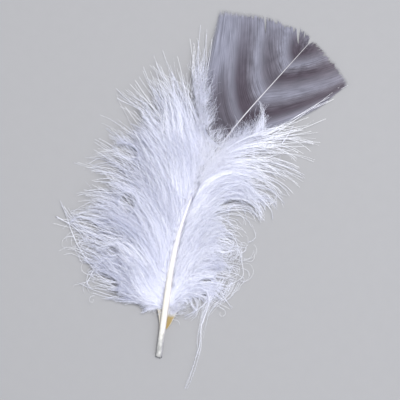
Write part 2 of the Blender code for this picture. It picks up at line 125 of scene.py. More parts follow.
# Up to here the locks turn only upwards, to keep the foot of the down closed.
LOWEST_TO = 20 * MM
LOCK_PLACES = (0.1, 0.9)
LOCK_TURN = math.radians(19)
LOCK_LENGTH = 0.25
LOCK_HEIGHTS = (0.7, 1.3)
# In part painted light and shade: the right's range is higher, the left's wide range shades between tufts.
LOCK_TONES = {LEFT: (0.26, 0.82), RIGHT: (0.5, 1.0)}
# How far the ends of the locks and of the single barbs hook to one side. Up to the first distance they
# mostly hook down towards the quill, from the second one on either way.
LOCK_HOOK = 2.0 * MM
BARB_HOOK = 0.9 * MM
HOOKS_DOWN = {LEFT: (30 * MM, 50 * MM), RIGHT: (54 * MM, 64 * MM)}
HOOK_FROM = 0.5
HOOK_RISE = 0.3
# How single barbs differ from their lock: place of the root, turn at the root and at the end, height of the
# tip and of the bow, tone.
BARB_SPREAD = 1.6 * MM
BARB_TURN = math.radians(12)
BARB_END_TURN = math.radians(15.6)
BARB_TIP_RISE = 0.5 * MM
BARB_BOW_RISE = 0.4 * MM
BARB_TONE = 0.15
LOWEST_TIP = 0.3 * MM
# Each barb ends at another part of its lock, so the lock runs out to a point.
BARB_SHARE = (0.5, 1.0)
# How far the barbs close up with the middle of their lock, soon after the root and at the tip, and the parts
# of their length between which they do so. Plain barbs keep more apart, by these shares.
BARB_PULL = (0.1, 0.6)
BARB_PULL_AT_TIP = 0.85
PULL_PARTS = (0.1, 0.6)
CLOSING_PARTS = (0.45, 0.95)
PLAIN_PULL_LESS = 0.75
PLAIN_CLOSING_LESS = 0.9
# How far locks, barbs and loose hairs wander off their way, in two waves, and how much of that is upwards.
LOCK_WANDER = 1.3 * MM
BARB_WANDER = 0.6 * MM
HAIR_WANDER = 0.35 * MM
WANDER_WAVES = (0.7, 1.7)
WANDER_RISE = 0.6
# Single barbs wander less towards their tips.
WANDER_SLOWING = 0.5
# How much less of it plain locks and barbs do.
PLAIN_LOCK_CALM = 0.8
PLAIN_BARB_CALM = 0.7
BARB_STEPS = 14
BARB_RADIUS = 0.05 * MM
BARB_TIP_RADIUS = 0.02 * MM
BARB_ROLL = 0.6
BARB_LIGHTER = 0.25
LIGHTEST = 0.98
DARKEST = 0.02
TUBE_SIDES = 3
# Plain barbs are thicker by this share.
PLAIN_THICKER = 0.7
# Where the down passes into the vane its barbs stay apart and lose their barbules, from and to here.
PLAIN = {LEFT: (58 * MM, 64 * MM), RIGHT: (53 * MM, 63 * MM)}
PLAIN_BARE = 0.85
BARE_PARTS = (0.3, 0.6)
# Share of the barbs that are missing next to the vane, where single strands show.
THINNED_AT_VANE = 0.7

# ---------------- down: barbules
BARBULES = 66
BARBULE_REACH = 2.4 * MM
BARBULE_WIDTH = 0.06 * MM
# angle from the barb at its root and at its tip
BARBULE_SPLAY = (math.radians(44), math.radians(26))
# Shares of the full length at the root of the barb and at its tip, and the part that it takes to grow full.
BARBULE_SHARES = (0.15, 0.22)
BARBULE_GROWTH = 0.16
PLUME_REACHES = (0.75, 1.15)
# Below 1 they stand closer at the barb's tip.
BARBULE_CROWDING = 0.9
BARBULE_ROLL = 0.65
BARBULE_LEANS = (0.5, 1.25)
BARBULE_LENGTHS = (0.45, 1.1)
BARBULE_TONE = 0.06
# Painted shade: how much darker the barbules are at the tips of the barbs, where they are thinnest.
OUTER_PAINTED_SHADE = 0.5
OUTER_FROM = 0.45
# How much darker the barbules of loose hairs are than the hairs.
LOOSE_DARKER = 0.2
# Half the room of a flat hair on the map.
MAP_ROOM = 0.004
# How far along the map the tip of a barbule is from its foot.
TIP_ON_MAP = 0.01

# ---------------- down: what keeps it in its place
FLOOR_CLEAR = 0.03 * MM
# Hairs that would stand above this height lie down over the rest, which leaves this share of the excess.
LYING_FROM = 11.0 * MM
LYING_SHARE = 0.35
# The shaft lies bare on top of the down up to here. Within this margin of it the down rises above its middle
# only by this share of its radius.
BARE_TO = 54 * MM
BARE_MARGIN = 0.25 * MM
BARE_TOP = 0.2
# Places along the shaft's line, this far apart, for finding what lies over it.
LINE_SPACING = 0.5 * MM

# ---------------- down: wisps along the edge
# distance of the root, place of the tip, angle from +Y at the root and at the tip, and how fluffy they are
WISPS_LEFT = (
    (15.2, -11.7, 10.9, 88, 112, 0.9), (15.5, -19.6, 8.8, 86, 114, 0.9), (16.0, -23.0, 8.8, 90, 110, 0.8),
    (16.5, -31.7, 9.6, 98, 94, 0.4), (17.5, -30.2, 12.7, 90, 108, 0.8), (18.5, -30.1, 15.4, 86, 100, 0.8),
    (20.0, -34.4, 17.3, 84, 86, 0.8), (21.5, -36.9, 19.8, 80, 86, 0.8), (23.0, -39.5, 22.5, 76, 90, 0.8),
    (24.5, -42.3, 24.9, 70, 100, 0.7), (25.5, -46.4, 29.2, 68, 50, 0.6), (26.5, -46.3, 24.9, 68, 104, 0.5),
    (28.5, -41.9, 28.4, 64, 110, 0.8), (30.0, -41.2, 31.0, 60, 122, 0.8), (31.5, -41.9, 33.1, 58, 124, 0.8),
    (33.0, -41.0, 35.4, 56, 116, 0.8), (36.0, -41.5, 39.2, 54, 122, 0.8), (38.0, -44.8, 42.0, 52, 124, 0.7),
    (39.5, -45.3, 43.0, 50, 118, 0.7), (41.0, -45.7, 44.0, 50, 144, 0.6), (42.5, -43.9, 48.4, 48, 90, 0.8),
    (44.5, -46.5, 50.8, 48, 84, 0.6), (47.0, -44.5, 55.4, 46, 82, 0.6), (49.0, -42.9, 57.5, 44, 76, 0.5),
    (50.5, -43.2, 60.0, 42, 74, 0.8), (52.5, -42.7, 64.1, 42, 62, 0.8), (53.5, -45.2, 65.7, 42, 54, 0.2),
    (55.0, -40.9, 68.6, 40, 56, 0.5), (56.0, -38.9, 68.6, 40, 52, 0.8), (57.0, -42.6, 72.2, 38, 58, 0.3),
    (58.0, -38.8, 73.4, 38, 52, 0.6), (59.0, -40.8, 74.8, 36, 54, 0.5), (59.5, -41.3, 76.5, 36, 50, 0.4),
    (60.0, -39.7, 77.3, 36, 48, 0.5), (60.7, -39.8, 79.6, 36, 48, 0.4), (61.3, -39.1, 81.0, 36, 46, 0.4),
    (62.0, -37.1, 82.2, 34, 42, 0.4), (62.6, -34.0, 81.3, 34, 40, 0.5), (63.0, -34.1, 83.6, 34, 38, 0.4),
    (63.8, -33.8, 89.4, 34, 36, 0.25), (64.4, -31.5, 90.2, 36, 30, 0.2), (65.0, -31.5, 92.8, 38, 26, 0.2),
    (65.6, -30.2, 95.1, 44, 22, 0.15), (66.3, -28.6, 97.2, 50, 16, 0.15), (65.8, -26.4, 91.0, 60, 14, 0.25),
    (66.2, -25.0, 87.0, 66, 12, 0.3), (66.4, -23.6, 82.5, 72, 10, 0.35), (66.6, -22.0, 77.5, 76, 8, 0.4))
WISPS_RIGHT = (
    (15.3, 3.5, 20.8, 4, 124, 0.8), (16.2, 7.6, 22.1, 6, 124, 0.9), (17.5, 9.8, 24.4, 10, 134, 0.8),
    (18.5, 10.4, 27.4, 12, 104, 0.8), (19.5, 13.7, 23.0, 12, 106, 0.3), (20.5, 11.4, 30.2, 14, 84, 0.8),
    (22.0, 12.4, 33.2, 14, 94, 0.6), (24.0, 10.7, 35.2, 14, 84, 0.8), (26.0, 9.5, 37.6, 14, 94, 0.8),
    (28.0, 7.8, 39.8, 14, 90, 0.8), (30.0, 10.1, 43.4, 12, 64, 0.5), (31.5, 6.6, 42.9, 12, 94, 0.5),
    (33.0, 9.7, 46.3, 10, 130, 0.3), (35.0, 7.0, 47.0, 10, 84, 0.3), (37.0, 4.6, 47.2, 6, 94, 0.3),
    (40.0, 8.9, 49.3, 4, 140, 0.35), (42.5, 10.2, 51.5, 4, 140, 0.5), (44.5, 13.0, 52.2, 2, 130, 0.6),
    (46.0, 10.6, 54.1, 2, 144, 0.8), (47.5, 11.8, 56.3, 2, 164, 0.6), (49.5, 14.4, 57.9, 4, 140, 0.6),
    (51.0, 15.0, 60.5, 6, 110, 0.7), (53.0, 15.8, 62.0, 10, 124, 0.5), (54.5, 17.2, 63.6, 12, 116, 0.4),
    (56.0, 17.0, 68.3, 16, 104, 0.6), (57.5, 16.9, 69.9, 20, 102, 0.5), (58.7, 17.5, 72.2, 22, 100, 0.35),
    (59.8, 17.4, 73.9, 24, 94, 0.3), (61.0, 16.6, 77.7, 28, 80, 0.25), (62.0, 16.5, 79.3, 30, 74, 0.25),
    (63.0, 15.4, 81.0, 32, 68, 0.25), (64.0, 14.3, 82.5, 34, 64, 0.2), (65.0, 15.2, 85.5, 34, 56, 0.2),
    (66.0, 14.1, 87.2, 36, 50, 0.15), (67.0, 12.9, 89.1, 36, 44, 0.15), (67.6, 13.6, 91.7, 38, 42, 0.1),
    (68.2, 14.7, 94.3, 38, 40, 0.1), (68.6, 16.0, 97.4, 54, 38, 0.1), (68.9, 15.5, 98.2, 56, 37, 0.1),
    (69.2, 12.0, 93.5, 56, 38, 0.15))
WISPS = {LEFT: WISPS_LEFT, RIGHT: WISPS_RIGHT}
WISP_BARBS = 10
WISP_BARBULES = 150
WISP_BEND = (0.38, 0.36)
WISP_TIP_SPREAD = 0.45 * MM
# How the barbs of a wisp differ: place of the root, angle there and at the tip in degrees, and the share of
# the length by which they end sooner.
WISP_ROOT_SPREAD = 0.8 * MM
WISP_TURNS = (7, 6)
WISP_SHORTER = (0, 0.22)
WISP_HEIGHTS = (0.5, 3.0)
WISP_BARB_HEIGHTS = (0, 0.5)
WISP_DROP = 1.8
WISP_TONES = (-0.1, 0.2)
WISP_WANDER = 0.35 * LOCK_WANDER
PLAIN_WISP_CALM = 0.6
# The parts of their length between which they lose their barbules where they aren't fluffy.
WISP_BARE_PARTS = (0.15, 0.5)

# ---------------- down: single strands and tufts
# places, heights at both ends, radius, length of the barbules
STRAYS = {
    LEFT: (
        (((-6.8, 13.9), (-12.7, 13.7), (-18.5, 13.3), (-23.2, 11.4), (-27.5, 10.0), (-31.7, 9.6)),
         3.0, 0.8, 0.06, 0.4),
        (((-29.1, 9.9), (-28.9, 17.6), (-29.0, 26.9)), 1.0, 7.0, 0.07, 0.0),
        (((-19.7, 13.0), (-28.0, 15.1), (-35.1, 19.0), (-40.2, 23.2), (-43.5, 26.6), (-46.9, 29.7)),
         2.5, 1.5, 0.07, 0.9),
        (((-46.3, 24.9), (-42.5, 24.7), (-38.1, 23.9), (-34.4, 21.6)), 1.2, 3.5, 0.05, 0.5),
        (((-16.9, 66.5), (-14.5, 68.4), (-11.7, 70.2), (-9.9, 71.4), (-8.8, 71.1)), 7.2, 7.6, 0.035, 0.2),
        (((-33.0, 55.0), (-39.2, 60.9), (-43.3, 63.9), (-45.4, 65.9)), 2.0, 1.0, 0.03, 0.1)),
    RIGHT: (
        (((0.2, 43.8), (4.5, 42.5), (7.9, 39.5), (12.2, 33.6), (11.2, 30.5), (9.4, 27.9), (9.8, 24.4)),
         5.0, 1.0, 0.06, 0.5),
        (((8.2, 26.3), (11.0, 24.0), (13.8, 23.0)), 1.5, 0.8, 0.045, 0.1),
        (((6.6, 24.9), (5.8, 20.9), (4.1, 17.4), (1.7, 14.3)), 2.0, 0.8, 0.05, 0.9),
        (((7.9, 25.5), (10.5, 24.4), (13.6, 22.6)), 2.0, 1.0, 0.05, 0.3),
        (((5.7, 73.4), (6.2, 76.6), (6.5, 80.1)), 6.0, 7.0, 0.05, 0.5),
        (((3.1, 57.2), (7.7, 56.0), (11.4, 54.5), (13.1, 52.3)), 4.0, 1.5, 0.045, 0.5),
        (((7.2, 57.1), (10.4, 56.0), (11.1, 58.6), (9.6, 60.3)), 3.5, 2.5, 0.04, 0.3))}
STRAY_STEPS = 40
# Routes stop this part of a place before their last one.
SHORT_OF_END = 0.001
STRAY_BARBULES = 420
STRAY_TONE = 0.95
# How much thinner the strands are at their ends, and how much shorter their barbules are there.
STRAY_THINNER = 0.7
STRAY_BARER = 0.6
# The long strand that hangs past the cut end, made of three that run close together.
HANGING = ((-3.0, 17.7), (0.1, 23.1), (3.9, 24.3), (6.2, 22.1), (7.1, 18.2), (7.6, 13.7), (9.6, 8.7),
           (10.2, 4.7), (10.8, 0.0), (11.2, -5.1))
HANGING_HEIGHTS = (5.0, 0.6)
HANGING_REACHES = (2.2, 1.6, 1.0)
HANGING_RADIUS = 0.075
HANGING_WANDER = 0.2 * MM
HANGING_BARBULES = 230
HANGING_SPLAY = (math.radians(52), math.radians(32))
# Pointed tufts of fine hairs: places, heights at both ends, number of hairs, how wide they start.
TUFTS = {
    LEFT: ((((-20.8, 74.0), (-20.4, 77.5), (-21.2, 82.0)), 7.6, 6.2, 16, 1.6),
           (((-17.5, 68.5), (-16.6, 72.0), (-17.1, 76.5)), 7.4, 6.6, 16, 1.5)),
    RIGHT: ((((-2.6, 71.5), (-2.6, 75.5), (-3.2, 79.4), (-3.2, 83.0)), 7.8, 6.8, 22, 1.5),
            (((-1.0, 72.5), (-2.2, 77.0), (-4.4, 80.6), (-6.3, 82.6)), 7.8, 6.8, 18, 1.3),
            (((-5.6, 67.5), (-5.0, 71.5), (-5.2, 75.5)), 7.6, 6.8, 20, 1.5),
            (((8.0, 30.2), (7.7, 25.4), (6.5, 20.9), (6.9, 16.4), (8.0, 11.0), (9.8, 6.0)),
             3.0, 0.8, 16, 2.2),
            (((5.1, 27.2), (5.9, 22.9), (6.2, 18.7), (7.6, 12.0)), 3.0, 0.8, 14, 2.0),
            (((11.0, 31.0), (10.9, 25.6), (8.9, 21.4), (7.8, 16.0)), 2.6, 0.8, 12, 2.0),
            (((1.7, 21.2), (3.8, 18.9), (3.3, 15.7), (1.7, 13.6)), 2.5, 0.8, 10, 1.4),
            (((0.2, 20.2), (2.4, 18.3), (4.5, 16.6), (3.9, 13.7)), 2.5, 0.8, 10, 1.2))}
TUFT_RADIUS = 0.028 * MM
TUFT_REACH = 0.9 * MM
TUFT_BARBULES = 46
TUFT_FLATNESS = 0.4
TUFT_CLOSING = 0.8
TUFT_SHARES = (0.45, 1.0)
TUFT_TONES = (0.6, 0.95)
TUFT_REACHES = (0.4, 1.0)
TUFT_BARER = 0.7
TUFT_WANDER = 0.21 * MM

# ---------------- down: loose hairs
LOOSE_STEPS = 14
LOOSE_RADIUS = 0.04 * MM
LOOSE_REACH = 0.8 * MM
LOOSE_REACHES = (0.2, 1.0)
LOOSE_BARBULES = 30
LOOSE_TONES = (0.8, 0.98)
# How much thinner they are at their ends, how much shorter their barbules are there, and the share of a
# half wave that they rise and fall in.
LOOSE_THINNER = 0.6
LOOSE_BARER = 0.5
LOOSE_ARCH = 0.8
# Over the down, on each side: number, turn off the barb's way, bend, length, rise.
FLYAWAYS = 320
FLYAWAY_TURN = math.radians(38)
FLYAWAY_BEND = math.radians(70)
FLYAWAY_LENGTHS = (4, 13)
FLYAWAY_RISES = (0.2, 1.3)
# steps of a barb at both ends where none is rooted
FLYAWAY_MARGIN = 3
# Spilling over the foot of the vane, over the web at the quill and along the shaft: two places that their
# roots lie between, height, number, angles from +Y, lengths, tones.
SPILLS = {
    LEFT: (((-26.0, 81.0), (-17.6, 66.4), 8.6, 260, (-22, 12), (3, 7), (0.3, 0.8)),
           ((-23.6, 78.5), (-16.0, 66.0), 7.8, 130, (-24, 18), (2, 6), (0.3, 0.8)),
           ((-15.4, 66.6), (-10.2, 64.6), 7.5, 90, (-30, 40), (2, 5), (0.3, 0.8)),
           ((-5.7, 13.2), (-6.8, 16.5), 4.2, 60, (-95, -25), (2, 5), (0.5, 0.9))),
    RIGHT: (((-8.2, 65.6), (-1.1, 73.4), 7.8, 230, (-30, 14), (3, 7), (0.3, 0.8)),
            ((-2.7, 13.4), (-1.2, 16.8), 4.3, 110, (-12, 60), (2, 5), (0.5, 0.9)),
            ((-4.6, 22.0), (-8.2, 48.0), 8.6, 120, (-12, 16), (5, 10), (0.75, 1.15)),
            ((-1.8, 24.0), (-5.2, 47.0), 8.2, 120, (-12, 22), (5, 10), (0.75, 1.15)))}
SPILL_SPREAD = (1.0 * MM, 1.0 * MM, 0.4 * MM)
SPILL_BEND = 35
SPILL_FALL = -1.1 * MM
# Curled at the edge: place, spread, number.
CURLS = {LEFT: ((-33.0, 22.5, 2.4, 30), (-27.0, 13.0, 1.6, 12)),
         RIGHT: ((6.0, 35.7, 2.6, 56), (5.0, 24.5, 1.8, 18))}
CURL_HEIGHTS = (1.0, 3.5)
CURL_ANGLES = (40, 140)
CURL_BENDS = (120, 300)
CURL_LENGTHS = (5, 9)
CURL_RISE = 0.5 * MM
# Across the shaft below the vane: number, from and to which distance, how far beside the shaft, angle
# towards and over it, how far they bend in all, length.
CROSSINGS = {
    LEFT: ((70, 52, 62, (0.4, 3.0), (-10, 40), (0, 60), (4, 9)),
           (26, 56, 63, (1.0, 6.5), (0, 120), (180, 330), (4, 8)),
           (90, 58, 65, (1.0, 5.5), (-20, 45), (0, 70), (4, 8))),
    RIGHT: ((170, 47, 61, (0.2, 3.0), (-6, 26), (0, 35), (6, 12)),
            (14, 56, 62, (0.0, 2.0), (0, 90), (160, 300), (4, 8)),
            (80, 60, 66, (0.6, 4.5), (-40, 5), (0, 40), (4, 8)))}
CROSSING_ABOVE = 0.6 * MM
CROSSING_RISES = (0.2, 0.8)

# ---------------- down: hollows and notches
# Hollows where the layers part: place, half width, half length.
HOLLOWS = {
    LEFT: ((-28.2, 37.9, 3.0, 4.4), (-36.5, 26.0, 4.6, 3.0), (-26.0, 23.5, 1.6, 2.4), (-24.0, 14.0, 5.0, 2.4),
           (-35.0, 52.0, 4.0, 2.4), (-37.5, 69.5, 3.0, 2.6)),
    RIGHT: ((4.2, 49.0, 4.6, 4.4), (7.0, 30.0, 2.8, 2.2), (7.6, 36.6, 2.4, 2.4), (3.4, 26.4, 2.4, 1.8))}
# Barbs are pushed this share of the way to a hollow's edge, and no harder where they are nearer to its
# middle than this.
HOLLOW_PUSH = 0.8
HOLLOW_MIDDLE = 0.05
# Notches in the outline, which only single strands cross: place, half width, half length.
NOTCHES = {
    LEFT: ((-46.5, 57.5, 3.6, 1.8), (-40.0, 40.4, 5.4, 2.2), (-36.0, 12.0, 6.0, 2.2), (-38.6, 60.4, 4.2, 4.4),
           (-37.8, 74.0, 2.8, 2.8), (-23.5, 10.4, 5.5, 2.2), (-14.0, 9.8, 5.0, 2.2), (-40.0, 33.5, 2.6, 1.7),
           (-42.2, 29.4, 2.2, 1.6)),
    RIGHT: ((3.6, 48.4, 6.6, 5.2), (9.6, 45.0, 5.2, 4.2), (11.6, 27.2, 3.6, 3.8), (3.9, 19.4, 3.6, 2.4),
            (0.4, 15.6, 2.6, 1.8), (9.6, 39.8, 2.2, 2.4), (10.0, 32.0, 1.8, 1.8), (5.2, 59.4, 2.2, 1.8),
            (11.6, 80.5, 2.6, 2.2), (9.8, 74.4, 2.8, 1.8), (11.0, 53.6, 1.8, 2.6))}
# Shares of the barbs and of the wisps' barbs that end there, how much of the way there they keep, and the
# least that is left of any.
CUT_SHARE = 0.93
CUT_SHARE_OF_WISPS = 0.45
CUT_BEFORE = (0.8, 1.0)
LEAST_LEFT = 0.25


# ---------------- numbers and directions
def ease(value, start, end):
    """0 before the start, 1 past the end, and a smooth way between them. Either may be the lower one."""
    part = np.clip((value - start) / (end - start), 0.0, 1.0)
    return part * part * (3.0 - 2.0 * part)


def blend(first, second, share):
    return first * (1 - share) + second * share


def at_distance(rows, s):
    """Blend the rows of a table at distances s along the shaft, for every column after the first."""
    distances, *columns = zip(*rows)
    return [np.interp(s / MM, distances, column) for column in columns]


def unit(vectors):
    return vectors / np.maximum(np.linalg.norm(vectors, axis=-1, keepdims=True), 1e-12)


def level_directions(heading):
    """Level unit vectors that head at these angles from +Y, opening to +X."""
    return np.stack((np.sin(heading), np.cos(heading), np.zeros_like(heading)), axis=-1)


def level_sides(heading):
    """Level unit vectors to the right of things that head these ways from +Y."""
    return np.stack((np.cos(heading), -np.sin(heading), np.zeros_like(heading)), axis=-1)


def from_cut_end(across, along, height=0.0):
    """Places given in millimetres from the quill's cut end."""
    return QUILL_END + np.stack(np.broadcast_arrays(across, along, height), axis=-1) * MM


# ---------------- shaft line
def shaft_heading(s):
    """Angle of the shaft from +Y, opening to +X."""
    return HEADING_AT_QUILL + (HEADING_AT_TIP - HEADING_AT_QUILL) * ease(s, BEND_START, BEND_END)


def shaft_radius(s):
    return at_distance(SHAFT_RADII, s)[0] * MM


def shaft_height(s):
    return shaft_radius(s) + SHAFT_ARCH * np.sin(np.pi * s / SHAFT_LENGTH)


LINE_STEPS = 800
LINE_S = np.linspace(0.0, SHAFT_LENGTH, LINE_STEPS)
LINE_STEP = LINE_S[1] - LINE_S[0]
LINE_MOVES = level_directions(shaft_heading((LINE_S[1:] + LINE_S[:-1]) / 2)) * LINE_STEP
LINE_X, LINE_Y = np.vstack((np.zeros(3), np.cumsum(LINE_MOVES, axis=0))).T[:2]


def shaft_points(s):
    places = (np.interp(s, LINE_S, LINE_X), np.interp(s, LINE_S, LINE_Y), shaft_height(s))
    return np.stack(places, axis=-1) + QUILL_END


def beside_shaft(side, s, away):
    """Places this far to one side of the shaft's line, level with it."""
    return shaft_points(s) + side * away[:, None] * level_sides(shaft_heading(s))


LINE_PLACES_S = np.arange(0.0, SHAFT_LENGTH, LINE_SPACING)
LINE_PLACES = shaft_points(LINE_PLACES_S)


# ---------------- barbs
def barbs_at(rows, s):
    """The angles at the root and at the end and the length of barbs at distances s along the shaft."""
    start, end, length = at_distance(rows, s)
    return np.radians(start), np.radians(end), length * MM


def barb_arcs(start, end, length, side, parts):
    """Level places along barbs that bend evenly from their start to their end angles."""
    start, end, length = (np.asarray(values)[:, None] for values in (start, end, length))
    bend = end - start
    bend = np.where(np.abs(bend) > STRAIGHT, bend, STRAIGHT)
    angle = start + bend * parts
    across = side * length * (np.cos(start) - np.cos(angle)) / bend
    along = length * (np.sin(angle) - np.sin(start)) / bend
    return np.stack((across, along, np.zeros_like(across)), axis=-1)


def bows(root, tip, start, end, parts, reach):
    """Smooth curves that leave their roots and arrive at their tips at these headings.

    They hold the first and the last heading for these two shares of their span.
    """
    span = np.linalg.norm((tip - root)[:, :2], axis=1)[:, None]
    near = root + reach[0] * span * level_directions(start)
    far = tip - reach[1] * span * level_directions(end)
    t = parts[None, :, None]
    return (root[:, None] * (1 - t) ** 3 + 3 * near[:, None] * t * (1 - t) ** 2
            + 3 * far[:, None] * t * t * (1 - t) + tip[:, None] * t ** 3)


def leaving_turn(side, s):
    """How much wider than in their table the barbs leave the shaft."""
    return np.radians(at_distance(LEAVING[side], s)[0])


def rising_start(side, s):
    """Where the barbs that belong to distances s along the shaft begin to rise beside it."""
    return s - at_distance(RISING[side], s)[0] * MM


def down_roots(side, s):
    """Places where barbs of down leave this side of the shaft."""
    return beside_shaft(side, s, ROOTS_OFF * shaft_radius(s))


def down_curves(side, s, barb, heights, parts):
    """Curves of down barbs. barb is start, end and length, heights are those of tip and bow, and the drop."""
    tip_height, bow, drop = (np.asarray(values)[:, None] for values in heights)
    start, end, _ = barb
    tip = down_roots(side, s) + barb_arcs(*barb, side, np.ones(1))[:, 0]
    root = down_roots(side, rising_start(side, s))
    curves = bows(root, tip, side * (start + leaving_turn(side, s)), side * end, parts, DOWN_BEND)
    fall = (1.0 - parts) ** drop
    rise = bow * np.sin(np.pi * parts ** BOW_DELAY)
    curves[..., 2] = tip_height + (root[:, 2:3] - tip_height) * fall + rise
    return curves


def curve_frames(curves):
    """Unit vectors along curves, level across them and square to both."""
    along = unit(np.gradient(curves, axis=1))
    across = unit(np.cross(along, UP))
    return along, across, np.cross(across, along)


def wander(curves, parts, amplitude, rng):
    """Bend curves gently off their way, more towards their ends."""
    _, across, rise = curve_frames(curves)
    count = len(curves)
    for direction, share in ((across, 1.0), (rise, WANDER_RISE)):
        for waves in WANDER_WAVES:
            phase = rng.uniform(0, 2 * np.pi, (count, 1))
            size = share * np.asarray(amplitude).reshape(-1, 1) * rng.normal(0, 1, (count, 1)) / waves
            swing = np.sin(2 * np.pi * waves * parts + phase) - np.sin(phase)
            curves = curves + (size * swing * parts)[..., None] * direction
    return curves


def hooked(curves, parts, reach, turn, rng):
    """Hook the ends of curves to one side, by turn times their reach on average."""
    _, across, rise = curve_frames(curves)
    bend = np.clip((parts - HOOK_FROM) / (1 - HOOK_FROM), 0, 1) ** 2
    level = reach * (rng.normal(0, 1, len(curves)) + turn)
    upward = reach * rng.normal(0, HOOK_RISE, len(curves))
    for direction, distance in ((across, level), (rise, upward)):
        curves = curves + (distance[:, None] * bend)[..., None] * direction
    return curves


def shortened(curves, share):
    """Each curve up to its own share of its length."""
    steps = curves.shape[1]
    at = np.arange(steps) * share[:, None]
    low = np.minimum(at.astype(int), steps - 2)
    row = np.arange(len(curves))[:, None]
    return blend(curves[row, low], curves[row, low + 1], (at - low)[..., None])


def away_from(curves, ellipse):
    """How far off the middle of a level ellipse the points of curves are. Its edge is 1 away."""
    across, along, half_width, half_length = ellipse
    return (curves[..., :2] - from_cut_end(across, along)[:2]) / (np.array((half_width, half_length)) * MM)


def parted(curves, side):
    """Push curves aside where the layers part and show the down below."""
    for hollow in HOLLOWS[side]:
        away = away_from(curves, hollow)
        distance = np.linalg.norm(away, axis=-1, keepdims=True)
        push = HOLLOW_PUSH * np.maximum(0, 1 - distance) / np.maximum(distance, HOLLOW_MIDDLE)
        curves[..., :2] += push * away * np.array(hollow[2:]) * MM
    return curves


def cut_short(curves, side, cut_share, rng):
    """End this share of the barbs that would run into a notch of the outline at its edge."""
    count, steps, _ = curves.shape
    share = np.ones(count)
    for notch in NOTCHES[side]:
        inside = np.linalg.norm(away_from(curves, notch), axis=-1) < 1
        first_inside = np.where(inside.any(axis=1), inside.argmax(axis=1), steps - 1)
        share = np.minimum(share, first_inside / (steps - 1))
    cut = (rng.random(count) < cut_share) & (share < 1)
    left = np.clip(share * rng.uniform(*CUT_BEFORE, count), LEAST_LEFT, 1)
    return shortened(curves, np.where(cut, left, 1))


# ---------------- meshes of many small parts
def add_object(name, data):
    obj = bpy.data.objects.new(name, data)
    bpy.context.scene.collection.objects.link(obj)
    return obj


def place(name, mesh, node):
    """Put a piece in the scene: it rides on the root and replaces its solid."""
    obj = add_object(name, mesh)
    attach(obj, "root")
    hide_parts(node)


class Weave:
    """Triangles gathered from many small parts, which become one mesh at the end."""

    def __init__(self):
        self.points = []
        self.faces = []
        self.maps = []
        self.count = 0

    def add(self, points, faces, maps):
        self.points.append(points.reshape(-1, 3))
        self.maps.append(maps.reshape(-1, 2))
        self.faces.append(faces.reshape(-1, 3) + self.count)
        self.count += len(self.points[-1])

    def sink_under_shaft(self):
        """Keep everything below the top of the shaft where the shaft lies bare."""
        for points in self.points:
            nearest = np.argmin(np.abs(points[:, 1:2] - LINE_PLACES[None, :, 1]), axis=1)
            s = LINE_PLACES_S[nearest]
            away = np.abs(points[:, 0] - LINE_PLACES[nearest, 0])
            over = (s < BARE_TO) & (away < shaft_radius(s) + BARE_MARGIN)
            top = shaft_height(s) + shaft_radius(s) * BARE_TOP
            points[over, 2] = np.minimum(points[over, 2], top[over])

    def make(self, name, material, node):
        points = np.concatenate(self.points)
        excess = np.maximum(points[:, 2] - LYING_FROM, 0.0)
        points[:, 2] = np.maximum(points[:, 2] - (1 - LYING_SHARE) * excess, FLOOR_CLEAR)
        faces = np.concatenate(self.faces)
        maps = np.concatenate(self.maps)
        mesh = bpy.data.meshes.new(name)
        mesh.vertices.add(len(points))
        mesh.vertices.foreach_set("co", points.astype(np.float32).ravel())
        mesh.loops.add(3 * len(faces))
        mesh.loops.foreach_set("vertex_index", faces.astype(np.int32).ravel())
        mesh.polygons.add(len(faces))
        mesh.polygons.foreach_set("loop_start", np.arange(0, 3 * len(faces), 3, dtype=np.int32))
        mesh.polygons.foreach_set("use_smooth", np.ones(len(faces), dtype=bool))
        layer = mesh.uv_layers.new(name="OFBake")
        layer.data.foreach_set("uv", maps[faces.ravel()].astype(np.float32).ravel())
        mesh.update(calc_edges=True)
        mesh.materials.append(material)
        place(name, mesh, node)


def skin(shape, closed=False):
    """Triangles between the points of grids. Closed ones also join their last column to their first."""
    index = np.arange(np.prod(shape)).reshape(shape)
    if closed:
        index = np.concatenate((index, index[..., :1]), axis=-1)
    a, b = index[..., :-1, :-1], index[..., :-1, 1:]
    c, d = index[..., 1:, 1:], index[..., 1:, :-1]
    return np.stack((a, b, c, a, c, d), axis=-1)


def rings(sides, level, rise):
    """Unit vectors all round curves, evenly turned from the level ones through the rising ones."""
    turn = 2 * np.pi * np.arange(sides) / sides
    return np.cos(turn)[:, None] * level[..., None, :] + np.sin(turn)[:, None] * rise[..., None, :]


def hair_maps(tones, steps, offsets):
    """The map of hairs holds their tone across and the part of their length along."""
    maps = np.empty((len(tones), steps, len(offsets), 2))
    maps[..., 0] = tones[:, None, None] + MAP_ROOM * offsets
    maps[..., 1] = np.linspace(0.0, 1.0, steps)[None, :, None]
    return maps


def add_tubes(weave, curves, radii, tones):
    """Round tapering hairs along curves."""
    count, steps, _ = curves.shape
    _, across, rise = curve_frames(curves)
    radii = np.broadcast_to(radii, (count, steps))[..., None, None]
    points = curves[:, :, None, :] + radii * rings(TUBE_SIDES, across, rise)
    maps = hair_maps(tones, steps, np.arange(TUBE_SIDES) - TUBE_SIDES / 2)
    weave.add(points, skin((count, steps, TUBE_SIDES), closed=True), maps)


def add_ribbons(weave, curves, half_widths, roll, tones):
    """Thin flat hairs along curves, each rolled by its own angle."""
    count, steps, _ = curves.shape
    _, across, rise = curve_frames(curves)
    flat = np.cos(roll)[:, None, None] * across + np.sin(roll)[:, None, None] * rise
    flat = flat * np.broadcast_to(half_widths, (count, steps))[..., None]
    points = np.stack((curves - flat, curves + flat), axis=2)
    weave.add(points, skin((count, steps, 2)), hair_maps(tones, steps, np.array((-1, 1))))


